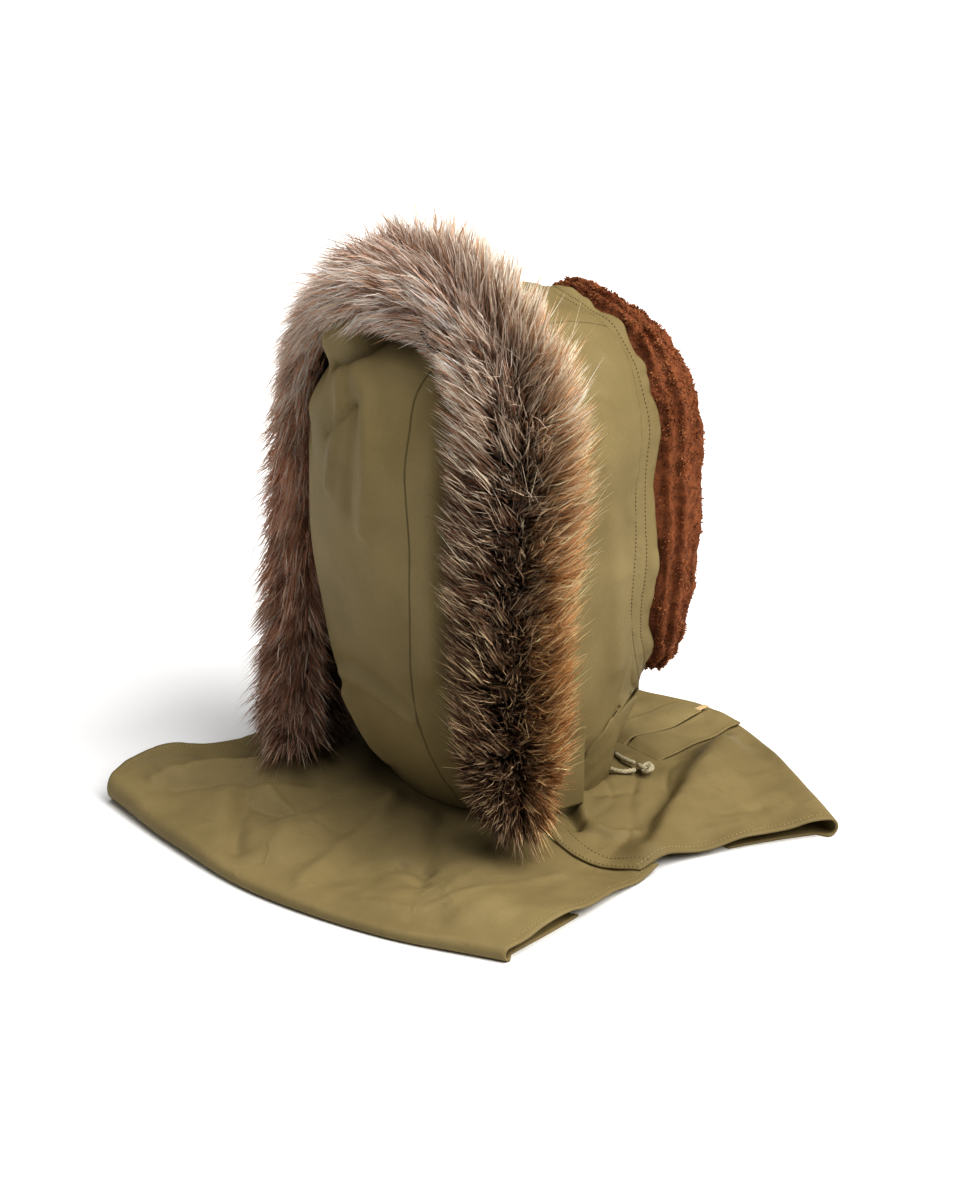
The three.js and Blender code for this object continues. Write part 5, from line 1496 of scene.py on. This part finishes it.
def make_drawcord(word, sign):
    route = Route(np.array(CORD_ROUTES[word]) - NECK, 150)
    tail_line = Route(np.array(TAIL_ROUTES[word]) - NECK, 60).points
    turn = np.linspace(0, 2 * math.pi, 160)
    # A trefoil: one strand that passes over and under itself three times.
    loops = [np.sin(turn) + 2 * np.sin(2 * turn), np.cos(turn) - 2 * np.cos(2 * turn), -np.sin(3 * turn)]
    knot = np.stack(loops, -1) * KNOT_SIZE * (sign, 1, 1) + np.array(KNOT_PLACES[word]) - NECK
    cord = tube(f"cord_run_{word}", route.points, CORD_RADIUS, cord_cotton, **CORD_SECTION)
    tail_part = tail_line[:CAP_FROM + 1]
    tail = tube(f"cord_tail_{word}", tail_part, CORD_RADIUS * 0.95, cord_cotton, **CORD_SECTION)
    cap = tube(f"cord_cap_{word}", tail_line[CAP_FROM:], CORD_RADIUS * 0.92, cord_tip)
    bow = tube(f"cord_knot_{word}", knot, CORD_RADIUS * 0.86, cord_cotton, **CORD_SECTION)
    return cord, tail, cap, bow, route


EYELET_ACROSS, EYELET_UP = 30, 24
EYELET_RING, EYELET_THREAD = 4.6, 1.1  # radii of the ring and of the thread round it


def make_eyelet(word, side):
    x = np.array([float(side * EYELET_ACROSS)])
    z = np.array([HOOD_BASE + EYELET_UP])
    outward = front_normal(x, z)[0]
    seat = front_place(x, z)[0] + outward * (EYELET_THREAD + 0.7 - THROAT_INSET)
    other = unit(np.cross(outward, UP))
    third = np.cross(outward, other)
    angle, ring = np.meshgrid(np.arange(48) / 48, np.arange(14) / 14, indexing="ij") * np.array(2 * math.pi)
    wound = EYELET_THREAD * (1 + 0.1 * np.cos(angle * 24))
    around = np.cos(angle)[..., None] * other + np.sin(angle)[..., None] * third
    grid = seat + around * (EYELET_RING + np.cos(ring) * wound)[..., None]
    grid = grid + outward * (np.sin(ring) * wound)[..., None]
    return add_grid(f"eyelet_thread_{word}", grid, thread, close_rows=True, close_columns=True)


# Build the pieces.
def settle(piece, slot, *nodes):
    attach(piece, "root")
    if nodes:
        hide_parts(*nodes)


for word, side in (("right", -1), ("left", 1)):
    cord, tail, cap, bow, route = make_drawcord(word, -side)
    settle(cord, "grey_cord", f"drawcord_{word}")
    settle(bow, "grey_cord", f"drawcord_knot_{word}")
    settle(tail, "grey_cord", f"drawcord_tail_{word}")
    settle(cap, "grey_cord")
    settle(make_eyelet(word, side), "olive_cotton", f"cord_eyelet_{word}")

settle(make_shell(), "olive_cotton", "hood_shell")
settle(make_throat(), "olive_cotton", "throat_panel")
band, *band_rows = make_band()
settle(band, "olive_cotton", "face_band")
for piece in band_rows:
    settle(piece, "olive_cotton")
for word, side in (("right", -1), ("left", 1)):
    settle(make_piping(side), "olive_cotton")
    flap, *flap_rows = make_flap(side, word)
    settle(flap, "olive_cotton", f"side_flap_{word}")
    seam = stitches(f"seam_stitch_{word}", *seam_line(side, SEAM_STITCH_OFF), thread)
    for piece in (*flap_rows, seam):
        settle(piece, "olive_cotton")

roll, roll_grid, roll_normal = make_roll()
settle(roll, "shearling", "face_roll")
settle(make_pile(roll_grid, roll_normal), "shearling", "face_roll")

settle(make_ruff_backing(), "olive_cotton", "ruff_backing")
settle(make_underfur(), "long_fur", "ruff_fur")
for stretch in (("ruff_hair_right", 0.012, 0.36, 11), ("ruff_hair_crown", 0.36, 0.64, 12),
                ("ruff_hair_left", 0.64, 0.988, 13)):
    settle(make_ruff_hair(*stretch), "long_fur", "ruff_fur")

CAPE_NODES = {"back_cape_cloth": ["back_cape"], "front_cape_cloth": ["front_cape"], "tape_bit": ["tape_end"],
              "placket_top": ["placket_strip"], "placket_low": ["placket_underlap"]}
for piece in make_cape() + make_placket():
    slot = "beige_tape" if piece.name == "tape_bit" else "olive_cotton"
    settle(piece, slot, *CAPE_NODES.get(piece.name, []))

# The floor, the camera and the lights.
TARGET = Vector(NECK * MM) + Vector((0, 0, 0.155))
AZIMUTH, ELEVATION, DISTANCE = 240, 24, 2.3
IMAGE_SIZE = (960, 1200)
TARGET_PIXEL = 475  # from the image's left edge
FOCAL_PIXELS = 3105
SENSOR = 36


def add_floor():
    made = Nodes("pale_floor")
    tone = made.ramp(made.noise(1.2, 2.0, 0.4), [(0.3, (0.83, 0.83, 0.827)), (0.7, (0.86, 0.86, 0.857))])
    made.link(tone, made.shader.inputs["Base Color"])
    give(made.shader, Roughness=0.9, Specular_IOR_Level=0.1)
    bpy.ops.mesh.primitive_plane_add(size=14, location=(0, 0, 0))
    floor = bpy.context.object
    floor.name = "floor"
    floor.data.materials.append(made.material)


def from_way(azimuth, elevation):
    """The direction out to something that is seen at an azimuth and an elevation, in degrees."""
    a, e = math.radians(azimuth), math.radians(elevation)
    return Vector((math.sin(a) * math.cos(e), -math.cos(a) * math.cos(e), math.sin(e)))


def place_out(name, data, away, location=(0, 0, 0)):
    """Adds a camera or a light that looks back along a direction."""
    made = bpy.data.objects.new(name, data)
    made.location = location
    made.rotation_euler = away.to_track_quat("Z", "Y").to_euler()
    bpy.context.scene.collection.objects.link(made)
    return made


def add_camera():
    data = bpy.data.cameras.new("camera")
    data.lens = FOCAL_PIXELS * SENSOR / IMAGE_SIZE[1]
    data.sensor_width = SENSOR
    data.sensor_fit = "AUTO"
    data.shift_x = (IMAGE_SIZE[0] / 2 - TARGET_PIXEL) / IMAGE_SIZE[1]
    data.clip_end = 50
    away = from_way(AZIMUTH, ELEVATION)
    bpy.context.scene.camera = place_out("camera", data, away, TARGET + away * DISTANCE)


def add_sun(name, azimuth, elevation, strength, softness, colour):
    data = bpy.data.lights.new(name, "SUN")
    data.energy = strength
    data.angle = math.radians(softness)
    data.color = colour
    place_out(name, data, from_way(azimuth, elevation))


add_floor()
add_camera()
add_sun("key", 303, 46, 3.7, 46, (1.0, 0.985, 0.965))
add_sun("top", 290, 85, 2.3, 45, (1.0, 1.0, 1.0))
add_sun("rim", 144, 30, 0.5, 32, (1.0, 0.98, 0.96))
world = bpy.data.worlds.new("studio")
world.use_nodes = True
give(world.node_tree.nodes["Background"], Color=(1.0, 1.0, 0.995, 1.0), Strength=0.05)
bpy.context.scene.world = world
bpy.context.scene.view_settings.view_transform = "Standard"
bpy.context.scene.view_settings.gamma = 0.8

bpy.context.view_layer.update()
